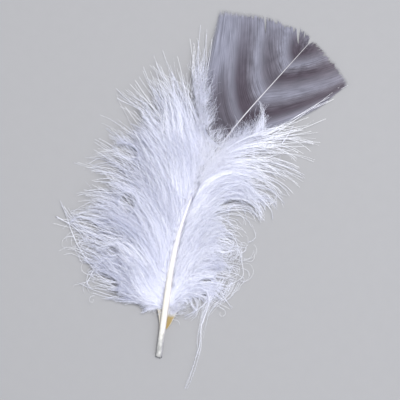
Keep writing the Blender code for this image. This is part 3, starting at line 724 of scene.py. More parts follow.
def add_barbules(weave, curves, number, reach, tones, rng, splay=BARBULE_SPLAY):
    """Fine slivers off both sides of curves. reach holds their length at each step of each curve."""
    count, steps, _ = curves.shape
    along, across, rise = curve_frames(curves)
    owner = np.repeat(np.arange(count), number)
    total = len(owner)
    part = (np.tile(np.arange(number), count) + rng.random(total)) / number
    part = part ** BARBULE_CROWDING
    step = np.minimum((part * (steps - 1)).astype(int), steps - 2)
    mix = part * (steps - 1) - step
    base = blend(curves[owner, step], curves[owner, step + 1], mix[:, None])
    roll = rng.normal(0, BARBULE_ROLL, total) + np.pi * rng.integers(0, 2, total)
    lean = (splay[0] + (splay[1] - splay[0]) * part) * rng.uniform(*BARBULE_LEANS, total)
    out = np.cos(roll)[:, None] * across[owner, step] + np.sin(roll)[:, None] * rise[owner, step]
    direction = np.cos(lean)[:, None] * along[owner, step] + np.sin(lean)[:, None] * out
    length = blend(reach[owner, step], reach[owner, step + 1], mix) * rng.uniform(*BARBULE_LENGTHS, total)
    flat = unit(np.cross(direction, rng.normal(0, 1, (total, 3)))) * BARBULE_WIDTH / 2
    points = np.stack((base - flat, base + flat, base + direction * length[:, None]), axis=1)
    # painted shade on the barbules towards the tips of the barbs
    shade = OUTER_PAINTED_SHADE * ease(part, OUTER_FROM, 1.0)
    tone = np.clip(tones[owner] - shade + rng.normal(0, BARBULE_TONE, total), DARKEST, LIGHTEST)
    maps = np.empty((total, 3, 2))
    maps[..., 0] = tone[:, None] + MAP_ROOM * np.array((-1, 1, 0))
    maps[..., 1] = np.clip(part[:, None] + TIP_ON_MAP * np.array((0, 0, 1)), 0, 1)
    weave.add(points, np.arange(3 * total), maps)


# ---------------- plumes of barbs
def plainness(side, s):
    """From 0 for a fluffy barb to 1 for a straight, plain one next to the vane."""
    return ease(s, *PLAIN[side])


def downward(side, s):
    """Which way the ends hook: to the left or right of their course, or 0 for either way."""
    return side * (1 - ease(s, *HOOKS_DOWN[side]))


def down_ends(side):
    """Distances of the first and the last barb of the down."""
    return DOWN_BARBS[side][0][0] * MM, DOWN_BARBS[side][-1][0] * MM


def layer_locks(side, layer, parts, rng):
    """The numbers that shape one layer's locks, a row for each kind, and the curves of their middles."""
    locks, _, shorten, turn, end_turn, tip_height, bow, drop = layer
    first, last = down_ends(side)
    s = first + (last - first) * (np.arange(locks) + rng.uniform(*LOCK_PLACES, locks)) / locks
    start, end, length = barbs_at(DOWN_BARBS[side], s)
    upright = 1 - ease(s, *UPRIGHT_TO)
    jitter = rng.uniform(-1, 1, (2, locks)) * LOCK_TURN
    jitter = np.where(s < LOWEST_TO, -np.abs(jitter) / 2, jitter)
    start = start + jitter[0] - math.radians(turn) * upright
    end = end + jitter[1] - math.radians(end_turn) * upright
    length = length * shorten * (1 + rng.uniform(-1, 1, locks) * LOCK_LENGTH)
    tip = tip_height * MM * rng.uniform(*LOCK_HEIGHTS, locks)
    lift = bow * MM * rng.uniform(*LOCK_HEIGHTS, locks)
    middles = down_curves(side, s, (start, end, length), (tip, lift, np.full(locks, drop)), parts)
    plain = plainness(side, s)
    middles = wander(middles, parts, LOCK_WANDER * (1 - PLAIN_LOCK_CALM * plain), rng)
    middles = hooked(middles, parts, LOCK_HOOK * (1 - plain), downward(side, s), rng)
    return np.stack((s, start, end, length, tip, lift)), middles


def gathered(curves, middles, parts, plain, rng):
    """Close up barbs with the middles of their locks, and end each at another part of its way."""
    count = len(curves)
    pull = (rng.uniform(*BARB_PULL, count) * (1 - PLAIN_PULL_LESS * plain))[:, None]
    closing = (BARB_PULL_AT_TIP * (1 - PLAIN_CLOSING_LESS * plain))[:, None] - pull
    weight = pull * ease(parts, *PULL_PARTS) + np.maximum(closing, 0) * ease(parts, *CLOSING_PARTS)
    return shortened(curves + (middles - curves) * weight[..., None], rng.uniform(*BARB_SHARE, count))


def layer_curves(side, layer, parts, rng):
    """Curves, root distances and tones of one layer's barbs, gathered in locks."""
    locks, barbs, *_, drop = layer
    shapes, middles = layer_locks(side, layer, parts, rng)
    owner = np.repeat(np.arange(locks), barbs)
    count = len(owner)
    lock_s, start, end, length, tip, lift = shapes[:, owner]
    s = np.clip(lock_s + rng.uniform(-1, 1, count) * BARB_SPREAD, *down_ends(side))
    start = start + rng.normal(0, BARB_TURN, count)
    end = end + rng.normal(0, BARB_END_TURN, count)
    tip = np.maximum(tip + rng.normal(0, BARB_TIP_RISE, count), LOWEST_TIP)
    lift = lift + rng.normal(0, BARB_BOW_RISE, count)
    curves = down_curves(side, s, (start, end, length), (tip, lift, np.full(count, drop)), parts)
    plain = plainness(side, s)
    calm = 1 - PLAIN_BARB_CALM * plain
    curves = gathered(curves, middles[owner], parts, plain, rng)
    curves = hooked(curves, parts, BARB_HOOK * calm, downward(side, s), rng)
    curves = wander(curves, parts * (1 - WANDER_SLOWING * parts), BARB_WANDER * calm, rng)
    # painted light and shade in part, through each side's range of lock tones
    lock_tones = rng.uniform(*LOCK_TONES[side], locks)
    tones = lock_tones[owner] + rng.uniform(-BARB_TONE, BARB_TONE, count)
    kept = rng.random(count) > THINNED_AT_VANE * plain
    return curves[kept], s[kept], tones[kept]


def wisp_curves(side, parts, rng):
    """Curves, fluffiness and tones of the barbs of the wisps along the edge, which close up at their tips."""
    wisps = len(WISPS[side])
    table = np.repeat(np.array(WISPS[side], dtype=float), WISP_BARBS, axis=0)
    count = len(table)
    distance, tip_across, tip_along, start, end, fluff = table.T
    plain = 1 - fluff
    s = distance * MM + rng.uniform(-1, 1, count) * WISP_ROOT_SPREAD
    root = down_roots(side, rising_start(side, s))
    start = side * (np.radians(start + rng.normal(0, WISP_TURNS[0], count)) + leaving_turn(side, s))
    end = side * np.radians(end + rng.normal(0, WISP_TURNS[1], count))
    tip = from_cut_end(tip_across, tip_along)
    tip[:, :2] += rng.normal(0, 1, (count, 2)) * WISP_TIP_SPREAD * (1 + plain)[:, None]
    back = rng.uniform(*WISP_SHORTER, count) * (np.arange(count) % WISP_BARBS > 0)
    tip = tip + (root - tip) * back[:, None]
    curves = bows(root, tip, start, end, parts, WISP_BEND)
    low = np.repeat(rng.uniform(*WISP_HEIGHTS, wisps), WISP_BARBS) + rng.uniform(*WISP_BARB_HEIGHTS, count)
    low = low[:, None] * MM
    curves[..., 2] = low + (root[:, 2:3] - low) * (1 - parts) ** WISP_DROP
    tones = np.repeat(rng.uniform(*LOCK_TONES[side], wisps), WISP_BARBS) + rng.uniform(*WISP_TONES, count)
    curves = wander(curves, parts, WISP_WANDER * (1 - PLAIN_WISP_CALM * plain), rng)
    kept = rng.random(count) > THINNED_AT_VANE * plain
    return curves[kept], fluff[kept], tones[kept]


def add_plumes(weave, curves, parts, fluff, barbules, tones, rng):
    """Barbs with their barbules, which are this fluffy at each part. The plain ones are thicker."""
    radii = (BARB_RADIUS + (BARB_TIP_RADIUS - BARB_RADIUS) * parts) * (1 + PLAIN_THICKER * (1 - fluff))
    roll = rng.normal(0, BARB_ROLL, len(curves))
    add_ribbons(weave, curves, radii, roll, np.minimum(tones + BARB_LIGHTER, LIGHTEST))
    at_root, at_tip = BARBULE_SHARES
    shape = np.minimum(1.0, at_root + parts / BARBULE_GROWTH)
    shape = blend(shape, at_tip, parts ** 3)
    reach = BARBULE_REACH * shape * fluff * rng.uniform(*PLUME_REACHES, len(fluff))[:, None]
    add_barbules(weave, curves, barbules, reach, tones, rng)


# ---------------- adding single strands and tufts
def smooth_route(points, count):
    """Evenly spread points on a smooth curve through the given ones."""
    places = np.array(points, dtype=float)
    padded = np.vstack((2 * places[0] - places[1], places, 2 * places[-1] - places[-2]))
    value = np.linspace(0.0, len(points) - 1 - SHORT_OF_END, count)
    index = value.astype(int)
    t = (value - index)[:, None]
    a, b, c, d = (padded[index + k] for k in range(4))
    return 0.5 * (2 * b + (c - a) * t + (2 * a - 5 * b + 4 * c - d) * t * t
                  + (3 * b - a - 3 * c + d) * t ** 3)


def route_curve(route, heights):
    """A curve through places given in millimetres from the cut end."""
    across, along = smooth_route(route, STRAY_STEPS).T
    return from_cut_end(across, along, np.linspace(*heights, STRAY_STEPS))[None]


def add_stray(weave, curve, radius, reach, rng, barbules=STRAY_BARBULES, splay=BARBULE_SPLAY):
    """A single strand. Its radius and the length of its barbules are in millimetres."""
    parts = np.linspace(0.0, 1.0, STRAY_STEPS)
    tones = np.array((STRAY_TONE,))
    add_tubes(weave, curve, radius * MM * (1 - STRAY_THINNER * parts), tones)
    if reach > 0:
        length = (reach * MM * (1 - STRAY_BARER * parts))[None]
        add_barbules(weave, curve, barbules, length, tones - LOOSE_DARKER, rng, splay)


def add_strays(weave, side, rng):
    """The single strands of one side, on the right with the one that hangs past the cut end."""
    for route, first, last, radius, reach in STRAYS[side]:
        add_stray(weave, route_curve(route, (first, last)), radius, reach, rng)
    if side == RIGHT:
        parts = np.linspace(0.0, 1.0, STRAY_STEPS)
        for reach in HANGING_REACHES:
            curve = wander(route_curve(HANGING, HANGING_HEIGHTS), parts, HANGING_WANDER, rng)
            add_stray(weave, curve, HANGING_RADIUS, reach, rng, HANGING_BARBULES, HANGING_SPLAY)


def add_tufts(weave, side, rng):
    parts = np.linspace(0.0, 1.0, STRAY_STEPS)
    for route, first, last, number, width in TUFTS[side]:
        curves = np.repeat(route_curve(route, (first, last)), number, axis=0)
        _, across, rise = curve_frames(curves)
        for direction, share in ((across, 1.0), (rise, TUFT_FLATNESS)):
            aside = rng.normal(0, width / 2, number)[:, None] * MM * share * (1 - parts) ** TUFT_CLOSING
            curves = curves + aside[..., None] * direction
        curves = shortened(curves, rng.uniform(*TUFT_SHARES, number))
        curves = wander(curves, parts, TUFT_WANDER, rng)
        tones = rng.uniform(*TUFT_TONES, number)
        roll = rng.normal(0, BARB_ROLL, number)
        add_ribbons(weave, curves, TUFT_RADIUS * (1 - LOOSE_THINNER * parts), roll, tones)
        reach = TUFT_REACH * (1 - TUFT_BARER * parts) * rng.uniform(*TUFT_REACHES, number)[:, None]
        add_barbules(weave, curves, TUFT_BARBULES, reach, tones - LOOSE_DARKER, rng)


# ---------------- adding loose hairs
def add_hairs(weave, root, heading, bend, length, lift, rng, radius=LOOSE_RADIUS, tone_range=LOOSE_TONES):
    """Loose hairs that leave their roots at these headings and curl their own way over what lies below."""
    parts = np.linspace(0.0, 1.0, LOOSE_STEPS)
    number = len(root)
    angle = heading[:, None] + bend[:, None] * parts
    moves = length[:, None, None] / LOOSE_STEPS * level_directions(angle)
    strands = root[:, None, :] + np.cumsum(moves, axis=1)
    strands[..., 2] += lift[:, None] * np.sin(np.pi * parts * LOOSE_ARCH)
    strands = wander(strands, parts, HAIR_WANDER, rng)
    tones = np.minimum(rng.uniform(*tone_range, number), LIGHTEST)
    add_tubes(weave, strands, radius * (1 - LOOSE_THINNER * parts), tones)
    reach = LOOSE_REACH * (1 - LOOSE_BARER * parts) * rng.uniform(*LOOSE_REACHES, number)[:, None]
    add_barbules(weave, strands, LOOSE_BARBULES, reach, tones - LOOSE_DARKER, rng)


def either_way(degrees, number, rng):
    """Bends between two angles, to one side or the other."""
    return np.radians(rng.uniform(*degrees, number)) * rng.choice((-1, 1), number)


def add_flyaways(weave, curves, rng):
    """Loose hairs that lie across the barbs."""
    owner = rng.integers(0, len(curves), FLYAWAYS)
    step = rng.integers(FLYAWAY_MARGIN, curves.shape[1] - FLYAWAY_MARGIN, FLYAWAYS)
    along, _, _ = curve_frames(curves)
    course = along[owner, step]
    heading = np.arctan2(course[:, 0], course[:, 1]) + rng.normal(0, FLYAWAY_TURN, FLYAWAYS)
    bend = rng.normal(0, FLYAWAY_BEND, FLYAWAYS)
    length = rng.uniform(*FLYAWAY_LENGTHS, FLYAWAYS) * MM
    lift = rng.uniform(*FLYAWAY_RISES, FLYAWAYS) * MM
    add_hairs(weave, curves[owner, step], heading, bend, length, lift, rng)


def add_curls(weave, side, rng):
    """Hairs that curl up at the edge of the down."""
    for across, along, spread, number in CURLS[side]:
        root = from_cut_end(across, along) + rng.normal(0, spread, (number, 3)) * MM
        root[:, 2] = rng.uniform(*CURL_HEIGHTS, number) * MM
        heading = side * np.radians(rng.uniform(*CURL_ANGLES, number))
        bend = either_way(CURL_BENDS, number, rng)
        length = rng.uniform(*CURL_LENGTHS, number) * MM
        add_hairs(weave, root, heading, bend, length, np.full(number, CURL_RISE), rng)


def add_crossings(weave, side, rng):
    """Soft hairs that cross over the shaft just below the vane."""
    for number, first, last, away, lean, bends, lengths in CROSSINGS[side]:
        s = rng.uniform(first, last, number) * MM
        root = beside_shaft(side, s, rng.uniform(*away, number) * MM) + CROSSING_ABOVE * UP
        heading = shaft_heading(s) - side * np.radians(rng.uniform(*lean, number))
        bend = either_way(bends, number, rng)
        length = rng.uniform(*lengths, number) * MM
        add_hairs(weave, root, heading, bend, length, rng.uniform(*CROSSING_RISES, number) * MM, rng)


def add_spills(weave, side, rng):
    """Soft hairs that spill over what lies beside the down."""
    for first, last, height, number, angles, lengths, tones in SPILLS[side]:
        share = rng.random(number)[:, None]
        root = blend(from_cut_end(*first, height), from_cut_end(*last, height), share)
        root = root + rng.normal(0, 1, (number, 3)) * SPILL_SPREAD
        heading = np.radians(rng.uniform(*angles, number))
        bend = np.radians(rng.normal(0, SPILL_BEND, number))
        length = rng.uniform(*lengths, number) * MM
        add_hairs(weave, root, heading, bend, length, np.full(number, SPILL_FALL), rng, TUFT_RADIUS, tones)


# ---------------- pieces of down
def build_layer(side, number, material, rng):
    """One layer of locks. The uppermost one also carries the loose hairs."""
    layers = DOWN_LAYERS[side]
    uppermost = number == len(layers)
    parts = np.linspace(0.0, 1.0, BARB_STEPS)
    curves, s, tones = layer_curves(side, layers[number - 1], parts, rng)
    curves = cut_short(parted(curves, side), side, CUT_SHARE, rng)
    fluff = 1 - PLAIN_BARE * plainness(side, s)[:, None] * ease(parts, *BARE_PARTS)
    weave = Weave()
    add_plumes(weave, curves, parts, fluff, BARBULES, tones, rng)
    if uppermost:
        add_flyaways(weave, curves, rng)
    weave.sink_under_shaft()
    if uppermost:
        add_crossings(weave, side, rng)
        add_curls(weave, side, rng)
    node = f"down_{SIDE_NAMES[side]}"
    weave.make(f"{node}_layer_{number}", material, node)


def build_wisps(side, material, rng):
    """The wisps along the edge of the down, with its strands, tufts and spilling hairs."""
    parts = np.linspace(0.0, 1.0, BARB_STEPS)
    curves, fluff, tones = wisp_curves(side, parts, rng)
    curves = cut_short(curves, side, CUT_SHARE_OF_WISPS, rng)
    fluff = 1 - (1 - fluff)[:, None] * ease(parts, *WISP_BARE_PARTS)
    weave = Weave()
    add_plumes(weave, curves, parts, fluff, WISP_BARBULES, tones, rng)
    add_strays(weave, side, rng)
    add_tufts(weave, side, rng)
    add_spills(weave, side, rng)
    node = f"down_{SIDE_NAMES[side]}"
    weave.make(f"{node}_wisps", material, node)


# ---------------- shaft
SHAFT_SIDES = 24
SHAFT_STEPS = 220
# how far the cut end's rim is off a straight cut
RAGGED = 0.25 * MM


def build_shaft(material):
    """The horn from the bottom of the hollow in the cut end, over its rim and along to the tip."""
    rng = np.random.default_rng(SEED)
    s = np.linspace(0.0, SHAFT_LENGTH, SHAFT_STEPS)
    centre = shaft_points(s)
    ring = rings(SHAFT_SIDES, level_sides(shaft_heading(s)), UP)
    points = centre[:, None, :] + shaft_radius(s)[:, None, None] * ring
    ragged = rng.uniform(-RAGGED, RAGGED, SHAFT_SIDES)
    points[0, :, 1] += ragged
    mouth = centre[0] + LUMEN_RADIUS * ring[0]
    mouth[:, 1] += ragged
    deep = shaft_points(LUMEN_DEPTH) + LUMEN_RADIUS * ring[0]
    points = np.concatenate((deep[None], mouth[None], points))
    maps = np.empty((len(points), SHAFT_SIDES, 2))
    maps[..., 0] = (np.arange(SHAFT_SIDES) + 0.5) / SHAFT_SIDES
    maps[..., 1] = np.concatenate(((0.0, 0.0), s / SHAFT_LENGTH))[:, None]
    weave = Weave()
    weave.add(points, skin(points.shape[:2], closed=True), maps)
    weave.make("shaft_horn", material, "quill_shaft")


# ---------------- vanes
VANE_BARB_COUNT = 112
# Steps along the barbs up to this part, and finer ones from there to the fringe at the edge.
VANE_STEPS = 27
FRINGE_STEPS = 10
FINER_FROM = 0.9
# How much the barbs differ in length, less so within this distance of the last one, and in height.
VANE_JAG = 0.22 * MM
VANE_EVEN = 6 * MM
VANE_UNEVEN = 0.03 * MM
# The fringe at the edge: how deep it is, the range of shares of that, how many notches are deeper and by how
# much, how much of the gap between two barbs opens, and over which share of the notch it does so.
FRINGE = 1.3 * MM
FRINGE_SHARES = (0.35, 1.0)
DEEPER_SHARE = 0.3
DEEPER = 1.7
FRINGE_OPEN = 0.9
FRINGE_OPENING = 0.5
# What is left of the web in a split, and how far from it the barbs still make room.
SPLIT_WEB = 0.15
SPLIT_FADE = 1.6 * MM
# Up to this distance from the first barb the web is loose: beyond these parts of the barbs, between which
# it thins out, only this share of it is left.
VANE_FREE = 2.2 * MM
FREE_PARTS = (0.35, 0.15)
FREE_WEB = 0.25
# The ridge along each barb, and the share of web outside the first and the last one.
RIDGE = 0.06 * MM
OUTSIDE_WEB = 0.3


def vane_curves(side, s, jag, parts):
    start, end, length = barbs_at(VANE_BARBS[side], s)
    root = beside_shaft(side, s, shaft_radius(s))
    curves = root[:, None, :] + barb_arcs(start, end, length + jag, side, parts)
    if side == LEFT:
        start, end = np.radians(at_distance(VANE_LEFT_TURNS, s))
        curves = bows(root, curves[:, -1], side * start, side * end, parts, VANE_LEFT_BEND)
    curves[..., 2] = root[:, 2:3] + (VANE_EDGE_HEIGHT - root[:, 2:3]) * parts ** VANE_CAMBER
    _, across, _ = curve_frames(curves)
    for distance, inner, opening in VANE_SPLITS[side]:
        beyond = s - distance * MM
        away = np.sign(beyond) * np.exp(-np.abs(beyond) / SPLIT_FADE)
        spread = opening * MM / 2 * np.clip((parts - inner) / (1 - inner), 0, 1)
        curves = curves - side * (away[:, None] * spread)[..., None] * across
    return curves


def web_share(side, s, parts, rng):
    """How much of the gap between each barb and the next is webbed, at each part of the barbs."""
    pairs = len(s) - 1
    _, _, length = barbs_at(VANE_BARBS[side], s)
    notch = FRINGE * rng.uniform(*FRINGE_SHARES, pairs)
    notch = notch * np.where(rng.random(pairs) < DEEPER_SHARE, DEEPER, 1.0)
    notch = (notch / length[1:])[:, None]
    share = 1 - FRINGE_OPEN * ease(parts, 1 - notch, 1 - notch + FRINGE_OPENING * notch)
    for distance, inner, _ in VANE_SPLITS[side]:
        pair = np.searchsorted(s, distance * MM) - 1
        share[pair] = np.where(parts > inner, SPLIT_WEB, 1.0)
    full = ease(s[1:], s[0], s[0] + VANE_FREE)[:, None]
    return share * blend(blend(FREE_WEB, 1.0, ease(parts, *FREE_PARTS)), 1.0, full)


def build_vane(side, material, rng):
    """One vane as a thin sheet with a ridge along every barb."""
    parts = np.concatenate((np.linspace(0.0, FINER_FROM, VANE_STEPS + 1),
                            np.linspace(FINER_FROM, 1.0, FRINGE_STEPS + 1)[1:]))
    first, last = VANE_BARBS[side][0][0] * MM, VANE_BARBS[side][-1][0] * MM
    s = np.linspace(first, last, VANE_BARB_COUNT)
    jag = rng.normal(0, VANE_JAG, VANE_BARB_COUNT) * np.minimum(1, (last - s) / VANE_EVEN)
    curves = vane_curves(side, s, jag, parts)
    curves[..., 2] += rng.normal(0, VANE_UNEVEN, VANE_BARB_COUNT)[:, None] * parts
    half = (curves[1:] - curves[:-1]) / 2 * web_share(side, s, parts, rng)[..., None]
    before = curves - np.concatenate((half[:1] * OUTSIDE_WEB, half))
    after = curves + np.concatenate((half, half[-1:] * OUTSIDE_WEB))
    sheet = np.stack((before, curves + RIDGE * UP, after), axis=2)
    maps = np.empty(sheet.shape[:3] + (2,))
    offsets = 0.5 / VANE_BARB_COUNT * np.array((-1, 0, 1))
    maps[..., 0] = ((s - first) / (last - first))[:, None, None] + offsets
    maps[..., 1] = parts[None, :, None]
    weave = Weave()
    weave.add(sheet, skin(sheet.shape[:3]), maps)
    node = f"vane_{SIDE_NAMES[side]}"
    weave.make(f"{node}_web", material, node)


# ---------------- sheath
SHEATH_START = 8.5 * MM
SHEATH_END = 17.0 * MM
SHEATH_NARROW = 1.0 * MM
SHEATH_LEFT = 3.4 * MM
SHEATH_RIGHT = 4.4 * MM
SHEATH_FLARE = 1.5
SHEATH_RISE = 0.3 * MM
SHEATH_ROWS = 30
SHEATH_COLUMNS = 41
SHEATH_THICKNESS = 0.35 * MM
GAP = 0.35 * MM


def build_sheath(material):
    """A thin web behind the shaft that widens from its narrow foot and curls up at both edges."""
    part = np.linspace(0.0, 1.0, SHEATH_ROWS)[:, None]
    q = np.linspace(-1.0, 1.0, SHEATH_COLUMNS)[None, :]
    s = (SHEATH_START + (SHEATH_END - SHEATH_START) * part)[:, 0]
    left = blend(SHEATH_NARROW, SHEATH_LEFT, part ** SHEATH_FLARE)
    right = blend(SHEATH_NARROW, SHEATH_RIGHT, part ** (1 / SHEATH_FLARE))
    across = q * np.where(q < 0, left, right)
    lift = (shaft_radius(s)[:, None] + SHEATH_RISE) * q * q * part
    bottom = -shaft_radius(s)[:, None] - GAP - SHEATH_THICKNESS / 2
    points = shaft_points(s)[:, None, :] + across[..., None] * level_sides(shaft_heading(s))[:, None, :]
    points = points + (bottom + lift)[..., None] * UP
    maps = np.stack(np.broadcast_arrays((q + 1) / 2, part), axis=-1)
    weave = Weave()
    weave.add(points, skin(points.shape[:2]), maps)
    weave.make("sheath_web", material, "sheath_remnant")


# ---------------- materials
def grey(level):
    return (level, level, level)


BLACK = grey(0.0)
WHITE = grey(1.0)


class Shading:
    """The nodes of a material. Its methods add some of them and return the socket that comes out of them."""

    def __init__(self, name):
        self.material = bpy.data.materials.new(name)
        self.material.use_nodes = True
        self.tree = self.material.node_tree
        self.tree.nodes.clear()

    def node(self, kind, inputs, output=0):
        """Add a node whose inputs are other sockets, colours or numbers."""
        return self.feed(self.tree.nodes.new(kind), inputs, output)

    def feed(self, node, inputs, output=0):
        for key, value in inputs.items():
            socket = node.inputs[key]
            if isinstance(value, bpy.types.NodeSocket):
                self.tree.links.new(value, socket)
            elif socket.type == "RGBA":
                socket.default_value = (*value, 1.0)
            else:
                socket.default_value = value
        return node.outputs[output] if node.outputs else None

    def surface_map(self):
        """The map of the piece as a whole, its tone or place across and its part along."""
        uv = self.tree.nodes.new("ShaderNodeUVMap")
        uv.uv_map = "OFBake"
        split = self.tree.nodes.new("ShaderNodeSeparateXYZ")
        across = self.feed(split, {"Vector": uv.outputs["UV"]})
        return uv.outputs["UV"], across, split.outputs["Y"]

    def ramp(self, value, stops):
        ramp = self.tree.nodes.new("ShaderNodeValToRGB")
        elements = ramp.color_ramp.elements
        while len(elements) < len(stops):
            elements.new(0.5)
        for element, (position, color) in zip(elements, stops):
            element.position = position
            element.color = (*color, 1.0)
        return self.feed(ramp, {"Fac": value}, "Color")

    def combine(self, operation, first, second):
        node = self.tree.nodes.new("ShaderNodeMath")
        node.operation = operation
        return self.feed(node, {0: first, 1: second}, "Value")

    def spread(self, value, low, high):
        """Spread a value from 0..1 to low..high."""
        return self.combine("ADD", self.combine("MULTIPLY", value, high - low), low)

    def fade_out(self, value, start, end):
        """1 up to the start, then down to 0 at the end."""
        node = self.tree.nodes.new("ShaderNodeMapRange")
        node.interpolation_type = "SMOOTHSTEP"
        ends = {"From Min": start, "From Max": end, "To Min": 1.0, "To Max": 0.0}
        return self.feed(node, {"Value": value, **ends}, "Result")

    def noise(self, vector, scale, detail=3.0):
        """Noise that is stretched by three scales."""
        stretched = self.node("ShaderNodeMapping", {"Scale": scale, "Vector": vector}, "Vector")
        noise = {"Scale": 1.0, "Detail": detail, "Vector": stretched}
        return self.node("ShaderNodeTexNoise", noise, "Fac")

    def mix(self, blend_type, factor, first, second):
        """Mix two colours."""
        node = self.tree.nodes.new("ShaderNodeMix")
        node.data_type = "RGBA"
        node.blend_type = blend_type
        return self.feed(node, {"Factor": factor, 6: first, 7: second}, 2)

    def tint(self, color, value, stops, factor=1.0):
        """Multiply a colour with those of a ramp."""
        return self.mix("MULTIPLY", factor, color, self.ramp(value, stops))

    def bump(self, height, distance=0.05 * MM, strength=0.5):
        bump = {"Strength": strength, "Distance": distance, "Height": height}
        return self.node("ShaderNodeBump", bump, "Normal")

    def finish(self, surface):
        self.node("ShaderNodeOutputMaterial", {"Surface": surface})
        return self.material

    def soft(self, color, through, roughness, **normal):
        """End with a surface that scatters light and lets some of it pass to the other side."""
        front = self.node("ShaderNodeBsdfDiffuse", {"Color": color, "Roughness": roughness, **normal})
        back = self.node("ShaderNodeBsdfTranslucent", {"Color": color})
        return self.finish(self.node("ShaderNodeMixShader", {"Fac": through, 1: front, 2: back}))

    def solid(self, color, roughness, normal):
        """End with a surface that lets no light through."""
        shader = {"Base Color": color, "Roughness": roughness, "Normal": normal}
        return self.finish(self.node("ShaderNodeBsdfPrincipled", shader))


# Colours of the down from its darkest to its lightest tone; the darker lavender greys are painted shade.
DOWN_TONES_PAINTED_SHADE = ((0.0, (0.48, 0.495, 0.60)), (0.4, (0.61, 0.625, 0.72)), (0.7, (0.785, 0.795, 0.87)),
              (1.0, (0.92, 0.925, 0.965)))
DOWN_GRAIN = (40.0, 12.0, 1.0)
DOWN_ROUGHNESS = (0.3, 0.9)
DOWN_THROUGH = 0.35
# Near the shaft the barbs and barbules blend into an even white haze, up to these parts of their length.
HAZE_WHITE = (0.79, 0.80, 0.88)
HAZE_SHARE = 0.7
HAZE_ENDS = (0.2, 0.65)
# Painted shade: their first parts, right beside the shaft, are greyer, for the shade that falls there.
ROOT_PAINTED_SHADE = ((0.0, (0.5, 0.5, 0.55)), (0.07, WHITE))


def down_material():
    shading = Shading("down_white")
    uv, tone, part = shading.surface_map()
    haze = shading.combine("MULTIPLY", shading.fade_out(part, *HAZE_ENDS), HAZE_SHARE)
    # the darker tones of this ramp are painted shade among the locks and on the outer barbules
    color = shading.mix("MIX", haze, shading.ramp(tone, DOWN_TONES_PAINTED_SHADE), HAZE_WHITE)
    # painted shade on the barbs' first parts beside the shaft
    color = shading.tint(color, part, ROOT_PAINTED_SHADE)
    roughness = shading.spread(shading.noise(uv, DOWN_GRAIN), *DOWN_ROUGHNESS)
    return shading.soft(color, DOWN_THROUGH, roughness)


DARK = (0.086, 0.072, 0.092)
DUSK = (0.118, 0.108, 0.134)
MID = (0.155, 0.147, 0.180)
LIGHT = (0.235, 0.235, 0.290)
PALE = (0.275, 0.280, 0.350)
# bars along the shaft: distance, colour
BARS = {
    LEFT: ((67.0, PALE), (69.5, PALE), (72.5, PALE), (76.0, LIGHT), (79.0, DARK), (81.8, DARK), (84.0, MID),
           (86.2, LIGHT), (87.8, LIGHT), (89.8, MID), (91.3, DUSK), (92.6, DUSK), (95.2, MID), (97.4, LIGHT),
           (99.0, LIGHT), (101.6, DARK), (104.0, DARK), (107.0, MID)),
    RIGHT: ((69.5, PALE), (71.8, LIGHT), (74.0, MID), (76.5, DARK), (79.0, DARK), (82.3, MID), (84.8, LIGHT),
            (87.2, LIGHT), (90.4, MID), (93.2, DARK), (94.6, DARK), (96.8, MID), (98.6, LIGHT), (100.8, MID),
            (103.3, DARK), (105.4, DARK), (107.2, MID))}
# How far along the shaft they have moved at the edge of the vane.
BAR_SHIFTS = {LEFT: 3.4, RIGHT: 0.8}
# They fade into this colour towards the edge, by this share at the edge itself.
FADES = {LEFT: (PALE, 0.8), RIGHT: ((0.250, 0.225, 0.265), 0.4)}
FADE_POWER = 2.4
# The dark patch at the foot of the left vane: the distance and the part of the barbs where it ends, and
# from which shares of them it fades.
FOOT_PATCH = (78.0, 0.72)
FOOT_PATCH_FADES = (0.6, 0.4)
# The barbs' ends stand out pale from this part of their length.
FRINGE_FROM = 0.955
FRINGE_PALE = (0.40, 0.40, 0.46)
# Streaks along the barbs, and broader blotches: repeats across and along the vane.
STREAKS = (130.0, 3.0, 1.0)
BLOTCHES = (16.0, 7.0, 1.0)
BLOTCH_DETAIL = 4.0
# How far these two push the bars to and fro, and how dark and how light they make the colours.
NOISE_PUSHES = (0.08, 0.05)
NOISE_DARKEST = (0.66, 0.86)
NOISE_LIGHTEST = 1.14
# The noise's values between which they go from dark to light.
NOISE_ENDS = (0.3, 0.66)
VANE_THROUGH = 0.3
VANE_ROUGHNESS = (0.3, 0.8)


def bar_color(shading, side, across, part, noises):
    """The bars of one vane, which fade towards its edge. The left one has a dark patch at its foot."""
    first, last = VANE_BARBS[side][0][0], VANE_BARBS[side][-1][0]
    span = last - first
    stops = [(min(1.0, max(0.0, (distance - first) / span)), color) for distance, color in BARS[side]]
    shift = shading.combine("MULTIPLY", shading.combine("POWER", part, 2.0), -BAR_SHIFTS[side] / span)
    along = shading.combine("ADD", across, shift)
    for noise, push in zip(noises, NOISE_PUSHES):
        along = shading.combine("ADD", along, shading.spread(noise, -push / 2, push / 2))
    fade_color, fade_share = FADES[side]
    faded = shading.combine("MULTIPLY", shading.combine("POWER", part, FADE_POWER), fade_share)
    color = shading.mix("MIX", faded, shading.ramp(along, stops), fade_color)
    if side == LEFT:
        across_end, part_end = (FOOT_PATCH[0] - first) / span, FOOT_PATCH[1]
        near_foot = shading.fade_out(across, FOOT_PATCH_FADES[0] * across_end, across_end)
        near_shaft = shading.fade_out(part, FOOT_PATCH_FADES[1] * part_end, part_end)
        color = shading.mix("MIX", shading.combine("MULTIPLY", near_foot, near_shaft), color, DUSK)
    return color


